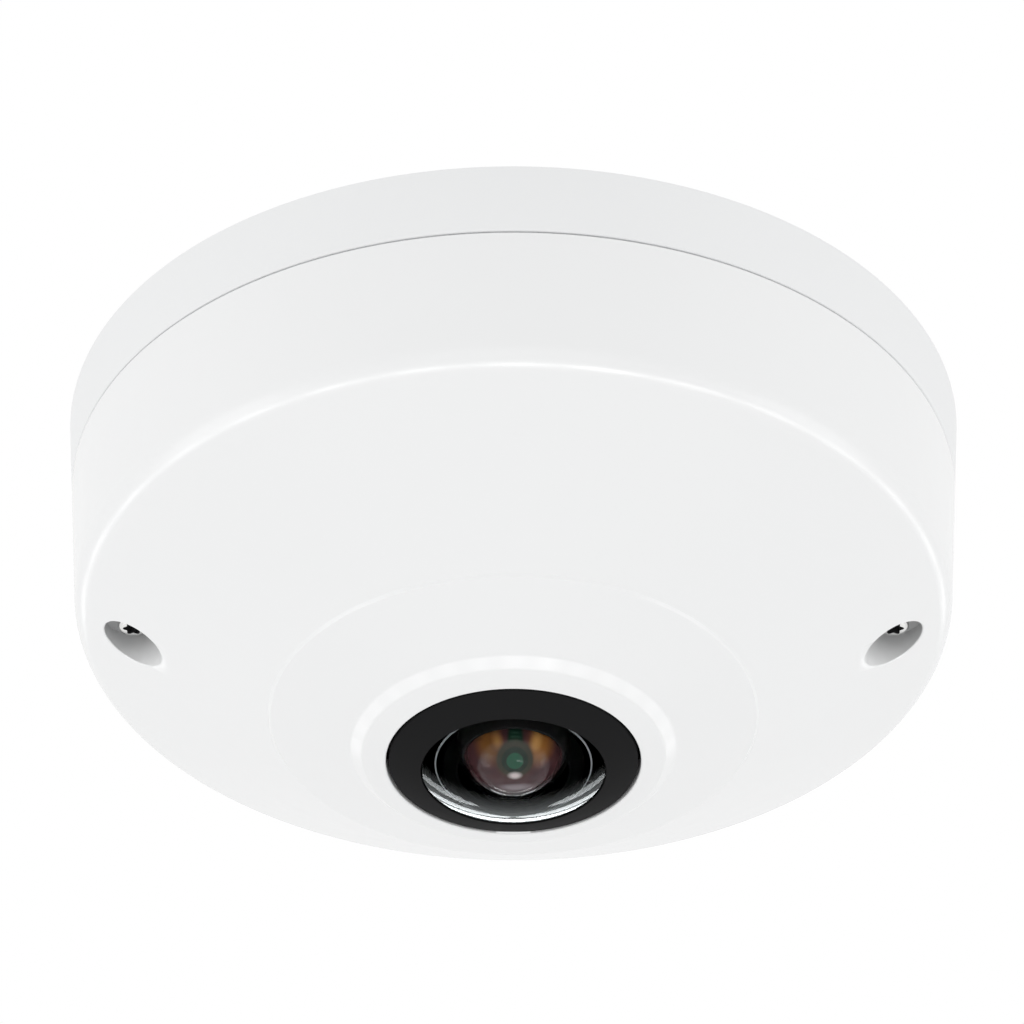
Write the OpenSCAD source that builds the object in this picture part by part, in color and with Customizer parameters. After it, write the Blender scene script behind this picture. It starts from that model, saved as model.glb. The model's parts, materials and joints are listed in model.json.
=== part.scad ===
// Ceiling-mounted fisheye network camera, hanging lens down.
// The origin is the centre of the face that meets the ceiling, and Z points up into the ceiling.
// Every piece is drawn by its depth below the ceiling, and hang() turns that depth into -Z.

/* [Body] */
// Outside diameter at the ceiling
body_d = 150; // [146:0.5:156]
// How far the wall draws in between the ceiling and the shoulder
wall_draft = 1.4; // [0.8:0.1:2]
// Height of the base wall that shows above the seam
base_h = 13; // [12:0.5:16]
// Open gap between the base and the cover at the seam
seam_gap = 0.4; // [0.2:0.1:0.8]
// Depth of the cover's shoulder corner below the ceiling
shoulder_depth = 36.6; // [36:0.1:38]
// Radius that rounds the shoulder
shoulder_round = 4; // [2:0.5:6]

/* [Cover] */
// Wall thickness of the cover
cover_wall = 2.4; // [2:0.1:2.8]
// Diameter of the fine step that rings the sloping front
step_d = 81.2; // [76:0.5:88]
// Depth of the fine step below the ceiling
step_depth = 58.7; // [58:0.1:60]
// Height of the fine step
step_h = 0.35; // [0.2:0.05:0.5]
// Diameter of the raised collar at its foot
collar_d = 54.4; // [53:0.2:58]
// Depth of the collar's foot below the ceiling
collar_foot_depth = 65.1; // [64.6:0.1:65.6]
// Depth of the collar's lip below the ceiling
collar_depth = 68.1; // [67.6:0.1:68.6]
// Diameter at which the collar's flank turns into its lip
collar_crown_d = 50.6; // [49:0.2:51.6]
// Height left between the collar's crown and its lip
collar_crown_drop = 1.1; // [0.8:0.1:1.4]
// Diameter of the hole that the lens looks through
lens_hole_d = 42.5; // [42.2:0.1:44]
// Width of the key that lines the cover up with the bezel
key_w = 5.8; // [4:0.2:8]
// Height of the key
key_h = 0.45; // [0.3:0.05:0.6]

/* [Cover screws] */
// Distance from the body's side to the axis of each cover screw
screw_inset = 11.3; // [11:0.1:11.7]
// Diameter of the recess around each screw head
recess_d = 9.7; // [8.6:0.1:10]
// Wall around the recess inside the cover
recess_wall = 1.9; // [1.8:0.1:2.4]
// Depth of the seat under the screw head
screw_seat_depth = 38.5; // [38:0.1:39]
// Diameter of the screw head
screw_head_d = 5.2; // [4.8:0.1:6]
// Height of the screw head
screw_head_h = 2.3; // [1.8:0.1:2.6]
// Diameter of the threaded shank
screw_d = 3; // [2.6:0.1:3.2]
// Length of the shank below the head
screw_l = 14; // [13.6:0.1:15]
// Distance that a screw backs out before its clip stops it
screw_travel = 4.5; // [4:0.1:4.6]
// Thickness of the retaining clip on each shank
clip_t = 0.8; // [0.6:0.1:0.9]
// Outside diameter of the retaining clip
clip_d = 5.6; // [4.8:0.1:6]
// Diameter of the shank inside its clip groove
groove_d = 2.4; // [2.2:0.1:2.5]
// Clear height of the cover's boss above each post
post_gap = 0.3; // [0.2:0.1:0.6]
// Diameter of each screw post in the base
post_d = 9.2; // [9:0.1:10]
// Length of the brass inserts in the posts
insert_l = 6.8; // [5:0.2:9]
// Wall of the brass inserts
insert_wall = 0.8; // [0.6:0.1:1]

/* [Base] */
// Thickness of the base floor
base_floor = 3; // [2.6:0.1:3.6]
// Thickness of the tongue that the cover slips over
tongue_t = 1.4; // [1:0.1:2]
// Height of the tongue above the seam
tongue_h = 3.5; // [2:0.5:6]
// Clearance between the tongue and the cover
tongue_gap = 0.3; // [0.2:0.05:0.5]
// Width of the cover seal
seal_w = 1.4; // [1:0.1:1.6]
// Depth of the groove for the cover seal
seal_groove = 1.2; // [0.8:0.1:2]
// Distance from the body's side to the ceiling screw holes
mount_inset = 16; // [15.5:0.5:18]
// Number of ceiling screw holes
mount_count = 4; // [4:2:4]
// Diameter of each ceiling screw hole
mount_hole_d = 4.6; // [4:0.1:5.4]
// Diameter of the boss around each ceiling screw hole
mount_boss_d = 12; // [10:0.5:13]
// Height of the boss above the floor
mount_boss_h = 2; // [1:0.5:4]
// Width of the foam gasket against the ceiling
gasket_w = 4; // [3:0.5:4.5]
// Thickness of the foam gasket
gasket_t = 1.5; // [1:0.1:1.8]
// Distance from the body's rim to the gasket
gasket_margin = 4.6; // [4:0.2:5.4]
// Depth of the shallow pockets in the back
pocket_t = 1.2; // [0.8:0.1:1.5]
// Width of the ribs between the pockets
rib_w = 2.4; // [1.6:0.2:4]
// Diameter of the solid pad in the middle of the back
back_pad_d = 28; // [20:1:40]
// Distance from the body's side to the pockets
pocket_inset = 13; // [12.5:0.5:14.5]

/* [Cable entry] */
// Diameter of the hole through the grommet
cable_hole_d = 6.4; // [5:0.1:7.5]
// Diameter of the grommet where it passes through the floor
grommet_waist_d = 16; // [13:0.5:16.5]
// Diameter of the grommet's flanges
grommet_flange_d = 20; // [18:0.5:20.5]
// Thickness of the grommet's inner flange
grommet_flange_t = 1.6; // [1:0.1:2.5]
// Distance from the body's side to the cable entry
cable_inset = 23.5; // [23.2:0.1:24]
// Direction of the cable entry
cable_entry_angle = 112; // [110:1:114]

/* [Main board] */
// Diameter of the main board
board_d = 92; // [90:0.5:93]
// Thickness of the main board
board_t = 1.6; // [1.2:0.1:2]
// Depth of the main board's upper face below the ceiling
board_depth = 12; // [11:0.5:13]
// Diameter of the posts under the boards
board_post_d = 6.4; // [5.6:0.1:6.8]
// Diameter of the small screws' shanks
small_screw_d = 2; // [1.6:0.1:2.4]
// Diameter of the small screws' heads
small_head_d = 4; // [3.4:0.1:4.4]
// Height of the small screws' heads
small_head_h = 1.5; // [1:0.1:1.8]
// Grip of a small screw in the post under it
small_grip = 5; // [3:0.5:6]
// Radius at which the main board's own screws stand
board_screw_r = 41; // [40.5:0.1:41.5]
// Radius at which the three standoffs stand
standoff_r = 27; // [26.5:0.1:27.5]
// Width of the standoffs across their corners
standoff_d = 6; // [5:0.2:6.2]

/* [Main board pieces] */
// Side of the processor
processor_w = 17; // [14:0.5:20]
// Height of the processor
processor_h = 1.6; // [1.2:0.1:2]
// Thickness of the thermal pad
pad_t = 1; // [0.5:0.1:1.5]
// Width of the heat sink
sink_w = 32; // [31:0.5:33]
// Length of the heat sink
sink_l = 26; // [20:0.5:26]
// Thickness of the heat sink's plate
sink_plate = 2; // [1.5:0.1:3]
// Height of the heat sink's fins
sink_fin_h = 8; // [5:0.5:10]
// Thickness of one fin
sink_fin_t = 1.2; // [0.8:0.1:1.4]
// Distance from fin to fin
sink_fin_pitch = 3; // [2.8:0.1:3.2]
// Number of fins
sink_fins = 7; // [5:1:7]
// Width of the network socket
jack_w = 16; // [15:0.1:17]
// Length of the network socket
jack_l = 21; // [19:0.5:21.5]
// Height of the network socket
jack_h = 13.4; // [12.8:0.1:14]
// Width of the socket's opening
jack_mouth_w = 11.8; // [11.6:0.1:12.2]
// Height of the socket's opening
jack_mouth_h = 8.2; // [7.6:0.1:8.6]
// Depth of the socket's opening
jack_mouth_l = 14; // [12:0.5:15]
// Thickness of the socket's metal shield
shield_t = 0.3; // [0.2:0.05:0.4]
// Width of the transformer
transformer_w = 14; // [12:0.5:14.5]
// Height of the transformer
transformer_h = 10; // [8:0.5:12]
// Diameter of the large capacitors
capacitor_d = 8; // [6:0.5:9]
// Height of the large capacitors
capacitor_h = 11; // [8:0.5:13]
// Side of the inductors
inductor_w = 7; // [5:0.5:7.5]
// Height of the inductors
inductor_h = 4; // [3:0.5:5]

/* [Memory card] */
// Width of the memory card
card_w = 11; // [10.5:0.1:11.5]
// Length of the memory card
card_l = 15; // [14.5:0.1:15.5]
// Thickness of the memory card
card_t = 0.8; // [0.7:0.05:1]
// How far the card pulls out of its slot
card_travel = 12; // [10:0.5:13]
// Clearance around the card in its slot
card_gap = 0.1; // [0.05:0.01:0.2]
// Wall of the card slot
card_slot_wall = 0.35; // [0.3:0.05:0.5]

/* [Reset button] */
// Side of the reset switch
switch_w = 6; // [5:0.5:7]
// Height of the reset switch
switch_h = 3.4; // [3:0.1:4]
// Diameter of the reset button
button_d = 3.4; // [2.8:0.1:3.8]
// How far the button stands out of the switch
button_h = 1.4; // [1:0.1:2]
// How far the button travels
button_travel = 0.35; // [0.25:0.05:0.5]

/* [Camera plate] */
// Diameter of the plate that carries the camera
plate_d = 77; // [76:0.5:80]
// Thickness of the camera plate
plate_t = 1.6; // [1.2:0.1:2]
// Side of the sensor board
sensor_board_w = 40; // [38:0.5:41]
// Thickness of the sensor board
sensor_board_t = 1.2; // [1:0.1:1.6]
// Length of the spacers under the sensor board
spacer_l = 2.4; // [2.2:0.1:3]
// Half the distance between the sensor board's screws
sensor_screw_x = 16; // [15.6:0.1:16.4]
// Width of the flat cable between the boards
ribbon_w = 10; // [8:0.5:11]
// Thickness of the flat cable
ribbon_t = 0.3; // [0.2:0.05:0.4]

/* [Image sensor and filter] */
// Width of the image sensor's package
sensor_w = 15; // [13:0.5:16]
// Height of the image sensor's package
sensor_h = 1.5; // [1.2:0.1:1.8]
// Thickness of the glass over the sensor
sensor_glass_t = 0.5; // [0.4:0.1:0.6]
// Side of each filter pane
pane_w = 7.6; // [7:0.1:7.8]
// Thickness of each filter pane
pane_t = 0.6; // [0.4:0.1:0.8]
// How far the filter carriage slides
filter_travel = 8.4; // [8.2:0.1:9]
// Thickness of the filter carriage
carriage_t = 1.6; // [1.4:0.1:1.8]
// Rim around the panes in the carriage
carriage_rim = 1; // [0.8:0.1:1.2]
// Clearance around the filter carriage
carriage_gap = 0.1; // [0.05:0.01:0.2]

/* [Lens holder] */
// Thickness of the holder's flange
holder_flange_t = 1.6; // [1.2:0.1:2]
// Wall above and below the filter carriage
holder_wall = 1.2; // [1:0.1:1.5]
// Height of the cylinder that grips the lens barrel
holder_neck_h = 5; // [4:0.1:6]
// Diameter of the holder's neck
holder_neck_d = 21; // [19.5:0.5:22]
// Thickness of the ring that locks the barrel
lock_ring_t = 1.8; // [1.4:0.1:2.2]

/* [Lens] */
// Diameter of the glass that shows
glass_d = 30.6; // [30:0.1:30.6]
// Height of the glass dome above its rim
glass_rise = 4.6; // [4:0.1:5.4]
// Depth of the glass rim below the ceiling
glass_rim_depth = 69.9; // [69.6:0.1:70.2]
// Height of the glass below its rim down to its ledge
glass_ledge_h = 3; // [2.8:0.1:3.4]
// Width of the ledge that the retaining ring holds
glass_ledge_w = 0.9; // [0.7:0.1:1]
// Thickness of the glass flange behind the ledge
glass_flange_t = 1.9; // [1.5:0.1:2.2]
// Diameter of the hollow in the back of the glass
hollow_d = 22.4; // [21.8:0.2:23]
// Thickness of the glass in its middle
glass_middle_t = 1.5; // [1.3:0.1:1.8]
// Thickness of the seal behind the glass
glass_seal_t = 0.8; // [0.5:0.1:1]
// Wall of the barrel around the glass
barrel_wall = 1.5; // [1.2:0.1:1.7]
// Diameter of the second lens
second_d = 18.4; // [18:0.2:18.8]
// Height of the second lens's dome above its rim
second_rise = 6.4; // [5.8:0.1:6.5]
// Distance from the glass rim back to the second lens's rim
second_sink = 3.7; // [3.6:0.1:4.2]
// Diameter of the third lens
third_d = 13; // [12:0.2:13.4]
// Diameter of the rear lens
rear_d = 11; // [10:0.2:11.4]
// Diameter of the barrel's tail
tail_d = 16; // [15.6:0.1:16.6]
// Diameter of the hole in the aperture stop
stop_hole_d = 3.2; // [2:0.2:5]
// Clearance around each lens in the barrel
lens_gap = 0.05; // [0.03:0.01:0.08]

/* [Bezel and shroud] */
// Clearance between the bezel and the cover's hole
bezel_gap = 0.45; // [0.35:0.05:0.6]
// Clearance between the bezel and the glass
bezel_bore_gap = 0.12; // [0.08:0.01:0.2]
// How far the bezel's outer edge sits behind the collar's lip
bezel_sink = 0.15; // [0.1:0.05:0.4]
// How far the bezel's inner edge stands past the glass rim
bezel_proud = 0.2; // [0:0.05:0.3]
// Thickness of the bezel at its inner edge
bezel_t = 0.8; // [0.6:0.1:1]
// Height of the bezel's outer band
bezel_band = 2.1; // [1.6:0.1:2.6]
// Wall of the shroud around the camera
shroud_wall = 1.6; // [1.2:0.1:1.7]
// Diameter of the shroud's wide part
shroud_d = 66; // [65:0.5:68]
// Depth at which the shroud begins to narrow
shroud_shoulder_depth = 50; // [48:0.5:52]
// Depth at which the shroud has narrowed to its neck
shroud_neck_depth = 58; // [57:0.5:59]

/* [Hidden] */
$fn = 96;

// Every cut runs this far past the face that it opens
overrun = 1;
// Steps in each rounded corner of a turned outline
round_steps = 8;
// Play of one still piece in another
seat_gap = 0.05;
// Small edge rounding on the base and the cover
edge_round = 0.4;

// Outline of the body
base_r = body_d / 2;
shoulder_r = base_r - wall_draft;
function wall_r(depth) = base_r - wall_draft * depth / shoulder_depth;
seam_r = wall_r(base_h);
cover_edge_depth = base_h + seam_gap;
cover_edge_r = wall_r(cover_edge_depth);
step_r = step_d / 2;
foot_r = collar_d / 2;
crown_r = collar_crown_d / 2;
crown_depth = collar_depth - collar_crown_drop;
lens_hole_r = lens_hole_d / 2;
cone_slope = (step_depth - shoulder_depth) / (shoulder_r - step_r);
front_slope = (collar_foot_depth - step_depth - step_h) / (step_r - foot_r);
// Radii that soften the collar where it meets the slope, at its crown and at its lip
foot_round = 2;
crown_round = 1.3;
lip_round = 0.25;

// Base
tongue_r = seam_r - cover_wall - tongue_gap;
tongue_in_r = tongue_r - tongue_t;
tongue_depth = base_h + tongue_h;
floor_round = 2;
gasket_r = base_r - gasket_margin;
seal_r = cover_edge_r - (cover_wall - seal_w) / 2;
mount_r = base_r - mount_inset;
screw_r = base_r - screw_inset;
cable_r = base_r - cable_inset;
pocket_r = base_r - pocket_inset;
rib_count = 8;
board_depth_low = board_depth + board_t;

// Cover screws and their posts
boss_depth = screw_seat_depth - screw_travel + post_gap;
post_depth = boss_depth - post_gap;
shank_play = 0.2;
thread_play = 0.05;
clip_play = 0.1;
clip_lift = 0.2;
post_bore_d = clip_d + 2 * clip_lift;
insert_depth = post_depth - screw_travel - clip_t - clip_lift;
clip_depth = insert_depth + clip_lift;
star_r = 1.8;
star_waist_r = 1.3;
star_h = 1.3;

// Board places, as directions round the middle
board_screw_angles = [0, 150, 240];
standoff_angles = [30, 150, 270];
chip_margin = 1;
capacitor_spots = [[33, -1], [35, -11.5], [-36, 10]];
inductor_xs = [-28.8, -19];
inductor_y = -27;
transformer_x = -29;
transformer_y = -11;
header_x = 19;
header_y = 30;
header_w = 8;
header_l = 6;
header_h = 7;
header_wall = 0.8;

// Heat sink
sink_depth = board_depth_low + processor_h + pad_t;
sink_screw_margin = 3.2;

// Network socket at the far edge of the main board
jack_front = sqrt(pow(board_d / 2, 2) - pow(jack_w / 2, 2));
jack_mouth_lift = 2;
latch_w = 4;
latch_h = 1.6;
contact_count = 8;
contact_pitch = 1.02;
contact_t = 0.45;

// Camera stack, counted back from the glass
ledge_depth = glass_rim_depth - glass_ledge_h;
flange_depth = ledge_depth - glass_flange_t;
cup_depth = flange_depth - glass_seal_t;
glass_flange_r = glass_d / 2 + glass_ledge_w;
cup_r = glass_flange_r + lens_gap;
barrel_r = cup_r + barrel_wall;
cup_wall_h = 3.6;
neck_taper_h = 3.4;
barrel_floor = 2;
waist_r = second_d / 2 + barrel_floor + lens_gap;
second_t = 3;
second_spacer_t = 7.2;
second_rim_w = 0.35;
third_t = 3;
stop_t = 0.4;
rear_t = 3;
seat_t = 0.8;
spacer_wall = 1.2;
second_front = glass_rim_depth - second_sink;
second_depth = second_front - second_t;
second_seat = second_depth - second_spacer_t;
third_depth = second_seat - third_t;
stop_depth = third_depth - stop_t;
third_seat = stop_depth - seat_t;
rear_depth = third_seat - rear_t;
tail_depth = rear_depth - seat_t;
collar_gap = 0.1;
tail_top = second_seat - seat_t;
holder_top = tail_top - lock_ring_t - collar_gap;

// Filter, sensor and boards, counted back from the holder
neck_base = holder_top - holder_neck_h;
carriage_w = pane_w + 2 * carriage_rim;
carriage_l = 2 * pane_w + 2 * carriage_rim + (filter_travel - pane_w);
channel_w = carriage_w + 2 * carriage_gap;
channel_l = carriage_l + filter_travel + 2 * carriage_gap;
channel_t = carriage_t + 2 * carriage_gap;
channel_depth = neck_base - holder_wall - channel_t;
sensor_space = sensor_h + sensor_glass_t + carriage_gap;
sensor_depth = channel_depth - holder_wall - sensor_space;
window_w = pane_w - carriage_rim;
holder_l = channel_l + 2 * holder_wall;
holder_w = sensor_w + 4 * holder_wall;
sensor_board_depth = sensor_depth - sensor_board_t;
plate_depth_low = sensor_board_depth - spacer_l;
plate_depth = plate_depth_low - plate_t;
standoff_l = plate_depth - board_depth_low;
coil_w = 8;
coil_t = 4;
coil_h = neck_base - sensor_depth - holder_flange_t - carriage_gap;

// Bezel and shroud
bezel_r = lens_hole_r - bezel_gap;
bezel_bore_r = glass_d / 2 + bezel_bore_gap;
bezel_front = glass_rim_depth + bezel_proud;
bezel_edge = collar_depth - bezel_sink;
bezel_back = bezel_edge - bezel_band;
bezel_slope = (bezel_front - bezel_edge) / (bezel_r - bezel_bore_r);
key_play = 0.3;
shroud_r = shroud_d / 2;
shroud_flange_r = plate_d / 2;
shroud_neck_in_r = bezel_r - shroud_wall;
shroud_screw_r = (shroud_r + shroud_flange_r) / 2;
shroud_screw_angles = [90, 210, 330];
shroud_head_d = 3.4;
shroud_head_h = 1.2;
ring_skirt_t = 0.75;
ring_lip_t = 0.6;
ring_h = 3;

// Flat cable route, by distance from the middle and depth
ribbon_reach = 5.5;
ribbon_margin = 4;
ribbon_out_x = sensor_board_w / 2 + ribbon_reach;
connector_h = 1.1;
connector_l = 3.5;
connector_grip = 2;
ribbon_sensor_x = sensor_board_w / 2 - ribbon_margin;
ribbon_board_x = sink_w / 2 + ribbon_reach;

// Memory card place on the main board
card_x = 12;
card_slot_l = card_l - 1;
card_slot_y = -27.5;
card_tail = 1.6;

// Reset switch place
switch_x = 29;
switch_y = -26;

// Shared shapes
module hang() mirror([0, 0, 1]) children();

module at(depth) translate([0, 0, depth]) children();

module round_places(radius, angles)
    for (angle = angles) rotate(angle) translate([radius, 0, 0]) children();

module disc(radius, height) cylinder(r = radius, h = height);

module ring(outer, inner, height)
    difference() {
        disc(outer, height);
        translate([0, 0, -overrun]) disc(inner, height + 2 * overrun);
    }

module block(size) translate([-size.x / 2, -size.y / 2, 0]) cube(size);

module rounded_block(size, corner)
    linear_extrude(height = size.z) rounded_outline(size.x, size.y, corner);

module rounded_outline(width, length, corner)
    polygon(rounded([
        [-width / 2, -length / 2, corner], [width / 2, -length / 2, corner],
        [width / 2, length / 2, corner], [-width / 2, length / 2, corner]
    ]));

function unit(v) = v / norm(v);
function flat(p) = [p.x, p.y];

// An arc of the given radius that replaces the corner b between a and c
function corner_arc(a, b, c, radius) =
    let (
        u = unit(a - b),
        v = unit(c - b),
        half = acos(u * v) / 2,
        centre = b + unit(u + v) * radius / sin(half),
        start = b + u * radius / tan(half) - centre,
        finish = b + v * radius / tan(half) - centre,
        from = atan2(start.y, start.x),
        swing = atan2(finish.y, finish.x) - from,
        turn = swing > 180 ? swing - 360 : swing < -180 ? swing + 360 : swing
    )
    [for (i = [0 : round_steps])
        centre + radius * [cos(from + turn * i / round_steps), sin(from + turn * i / round_steps)]];

// A closed outline from corners that each give a place and a radius
function rounded(corners) =
    let (count = len(corners))
    [for (i = [0 : count - 1])
        let (
            before = flat(corners[(i + count - 1) % count]),
            here = corners[i],
            after = flat(corners[(i + 1) % count])
        )
        each (here.z == 0 ? [flat(here)] : corner_arc(before, flat(here), after, here.z))];

// The line from a to b moved sideways by a distance, as two points
function shifted(a, b, distance) =
    let (along = unit(b - a), across = distance * [along.y, -along.x])
    [a + across, b + across];

function crossing(p, q) =
    let (
        u = p[1] - p[0],
        v = q[1] - q[0],
        w = q[0] - p[0],
        share = (w.x * v.y - w.y * v.x) / (u.x * v.y - u.y * v.x)
    )
    p[0] + share * u;

// An open line moved sideways, with its corners kept sharp
function beside(path, distance) =
    let (
        last = len(path) - 1,
        sides = [for (i = [0 : last - 1]) shifted(path[i], path[i + 1], distance)]
    )
    [for (i = [0 : last])
        i == 0 ? sides[0][0] : i == last ? sides[last - 1][1] : crossing(sides[i - 1], sides[i])];

function backwards(list) = [for (i = [len(list) - 1 : -1 : 0]) list[i]];

module turned(corners) rotate_extrude() polygon(rounded(corners));

// A small pan-head screw: its head rests at depth 0 and its shank runs up into the part
module small_screw(head_d, head_h, grip) {
    slot_w = head_d / 6;
    difference() {
        union() {
            disc(head_d / 2, head_h);
            translate([0, 0, -grip]) disc(small_screw_d / 2, grip);
        }
        for (angle = [0, 90])
            rotate(angle) translate([0, 0, head_h / 2]) block([head_d * 2 / 3, slot_w, head_h]);
    }
}

module small_hole(length) translate([0, 0, -overrun]) disc(small_screw_d / 2 + seat_gap, length);

// Base
module mounting_base() {
    color("#e6e8e8") hang() difference() {
        union() {
            base_tray();
            for (side = [-1, 1]) screw_post(side);
            at(base_floor) {
                round_places(board_screw_r, board_screw_angles)
                    disc(board_post_d / 2, board_depth - base_floor);
                round_places(standoff_r, standoff_angles)
                    disc(board_post_d / 2, board_depth - base_floor);
                mount_places() disc(mount_boss_d / 2, mount_boss_h);
            }
        }
        back_pockets();
        at(-overrun) ring(gasket_r, gasket_r - gasket_w, gasket_t + overrun);
        at(base_h - seal_groove) ring(seal_r, seal_r - seal_w, seal_groove + overrun);
        at(-overrun) mount_places() disc(mount_hole_d / 2, base_h);
        cable_place() {
            at(-overrun) disc(grommet_flange_d / 2 + seat_gap, pocket_t + overrun);
            disc(grommet_waist_d / 2 + seat_gap, base_h);
        }
        at(board_depth - small_grip - seat_gap) {
            round_places(board_screw_r, board_screw_angles)
                disc(small_screw_d / 2 + seat_gap, small_grip + overrun);
            round_places(standoff_r, standoff_angles)
                disc(small_screw_d / 2 + seat_gap, small_grip + overrun);
        }
    }
}

module base_tray()
    turned([
        [0, 0, 0],
        [base_r, 0, edge_round],
        [seam_r, base_h, edge_round],
        [tongue_r, base_h, 0],
        [tongue_r, tongue_depth, edge_round],
        [tongue_in_r, tongue_depth, edge_round],
        [tongue_in_r, base_floor, floor_round],
        [0, base_floor, 0]
    ]);

module screw_post(side)
    translate([side * screw_r, 0, 0]) difference() {
        union() {
            disc(post_d / 2, post_depth);
            at(base_floor / 2) block([2 * (tongue_in_r - screw_r + tongue_t / 2), rib_w, base_h - base_floor / 2]);
        }
        at(insert_depth) disc(post_bore_d / 2, post_depth);
        at(insert_depth - insert_l)
            disc(screw_d / 2 + thread_play + insert_wall + seat_gap, insert_l + overrun);
    }

module mount_places()
    round_places(mount_r, [for (i = [0 : mount_count - 1]) (i + 1 / 2) * 360 / mount_count])
        children();

module cable_place()
    round_places(cable_r, [cable_entry_angle]) children();

module back_pockets()
    at(-overrun) difference() {
        ring(pocket_r, back_pad_d / 2, pocket_t + overrun);
        for (i = [0 : rib_count - 1])
            rotate(i * 360 / rib_count)
                translate([0, -rib_w / 2, -overrun]) cube([base_r, rib_w, base_h]);
        at(-overrun) mount_places() disc(mount_boss_d / 2, base_h);
    }

module ceiling_gasket() {
    color("#3a3a3a") hang()
        ring(gasket_r - seat_gap, gasket_r - gasket_w + seat_gap, gasket_t - seat_gap);
}

module cable_grommet() {
    color("#2b2b2b") hang() cable_place() difference() {
        union() {
            disc(grommet_waist_d / 2, base_floor + grommet_flange_t);
            disc(grommet_flange_d / 2, pocket_t - seat_gap);
            at(base_floor + seat_gap) disc(grommet_flange_d / 2, grommet_flange_t - seat_gap);
        }
        at(-overrun) disc(cable_hole_d / 2, base_h);
    }
}

module cover_seal() {
    color("#4a4a4a") hang() at(base_h - seal_groove)
        ring(seal_r - seat_gap, seal_r - seal_w + seat_gap, seal_groove + seam_gap);
}

module screw_inserts() {
    color("#c8a24a") hang() for (side = [-1, 1])
        translate([side * screw_r, 0, insert_depth - insert_l])
            ring(screw_d / 2 + thread_play + insert_wall, screw_d / 2 + thread_play, insert_l);
}

// Main board
module main_board() {
    color("#1f5c3a") hang() at(board_depth) difference() {
        disc(board_d / 2, board_t);
        round_places(board_screw_r, board_screw_angles) small_hole(board_t + 2 * overrun);
        round_places(standoff_r, standoff_angles) small_hole(board_t + 2 * overrun);
        for (side = [-1, 1])
            translate([side * (sink_w / 2 - sink_screw_margin), 0, 0]) small_hole(board_t + 2 * overrun);
    }
}

module main_board_screws() {
    color("#b8bcc0") hang() at(board_depth_low)
        round_places(board_screw_r, board_screw_angles)
            small_screw(small_head_d, small_head_h, board_t + small_grip - seat_gap);
}

module board_standoffs() {
    color("#c8a24a") hang() round_places(standoff_r, standoff_angles) {
        at(board_depth_low) difference() {
            cylinder(r = standoff_d / 2, h = standoff_l, $fn = 6);
            at(standoff_l - small_grip - seat_gap)
                disc(small_screw_d / 2 + seat_gap, small_grip + overrun);
        }
        at(board_depth - small_grip) disc(small_screw_d / 2, board_t + small_grip);
    }
}

module processor() {
    color("#202226") hang() at(board_depth_low)
        rounded_block([processor_w, processor_w, processor_h], edge_round);
}

module thermal_pad() {
    color("#8fa3b5") hang() at(board_depth_low + processor_h)
        block([processor_w - chip_margin, processor_w - chip_margin, pad_t]);
}

module heat_sink() {
    color("#9a9ea2") hang() at(sink_depth) difference() {
        union() {
            block([sink_w, sink_l, sink_plate]);
            for (i = [0 : sink_fins - 1])
                translate([(i - (sink_fins - 1) / 2) * sink_fin_pitch, 0, 0])
                    block([sink_fin_t, sink_l, sink_plate + sink_fin_h]);
        }
        for (side = [-1, 1])
            translate([side * (sink_w / 2 - sink_screw_margin), 0, 0]) {
                small_hole(sink_plate + 2 * overrun);
                at(sink_plate) disc(small_head_d / 2 + seat_gap, sink_fin_h + overrun);
            }
    }
}

module heat_sink_screws() {
    color("#b8bcc0") hang() at(sink_depth + sink_plate) for (side = [-1, 1])
        translate([side * (sink_w / 2 - sink_screw_margin), 0, 0])
            small_screw(small_head_d, small_head_h, sink_depth + sink_plate - board_depth);
}

// Two memory chips beside the heat sink and one flash chip by the socket
module memory_chips() {
    chip_w = 8;
    chip_l = 11;
    chip_h = 1.1;
    chip_y = sink_l / 2 + chip_l / 2 + chip_margin;
    color("#1c1d20") hang() at(board_depth_low) {
        for (side = [-1, 1])
            translate([side * chip_l, -chip_y, 0]) rounded_block([chip_w, chip_l, chip_h], edge_round);
        translate([sink_w / 2 + chip_w / 2 + 2 * chip_margin, 0, 0])
            rounded_block([chip_w, chip_w, chip_h], edge_round);
    }
}

module network_transformer() {
    magnetics_w = 12.6;
    magnetics_l = 7;
    magnetics_h = 4;
    color("#24262a") hang() at(board_depth_low)
        translate([0, jack_front - jack_l - magnetics_l / 2 - chip_margin, 0])
            rounded_block([magnetics_w, magnetics_l, magnetics_h], edge_round);
}

// Network socket, with its mouth facing the wiring space
module network_jack() {
    body_w = jack_w - 2 * shield_t;
    color("#17181a") hang() at(board_depth_low) difference() {
        translate([0, jack_front - jack_l / 2, 0])
            block([body_w - 2 * seat_gap, jack_l - 2 * shield_t, jack_h - shield_t - seat_gap]);
        translate([0, jack_front - jack_mouth_l / 2, jack_mouth_lift])
            block([jack_mouth_w, jack_mouth_l, jack_mouth_h]);
        translate([0, jack_front - jack_mouth_l / 2, jack_mouth_lift + jack_mouth_h - overrun])
            block([latch_w, jack_mouth_l, latch_h + overrun]);
    }
}

module jack_shield() {
    color("#c4c8cc") hang() at(board_depth_low) difference() {
        translate([0, jack_front - jack_l / 2, 0]) block([jack_w, jack_l, jack_h]);
        translate([0, jack_front - jack_l / 2 + shield_t, -overrun])
            block([jack_w - 2 * shield_t, jack_l, jack_h - shield_t + overrun]);
    }
}

module jack_contacts() {
    contact_l = 9;
    color("#d8b24a") hang() for (i = [0 : contact_count - 1])
        translate([
            (i - (contact_count - 1) / 2) * contact_pitch,
            jack_front - jack_mouth_l + contact_l / 2,
            board_depth_low + jack_mouth_lift + seat_gap
        ])
            block([contact_t, contact_l, contact_t]);
}

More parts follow.
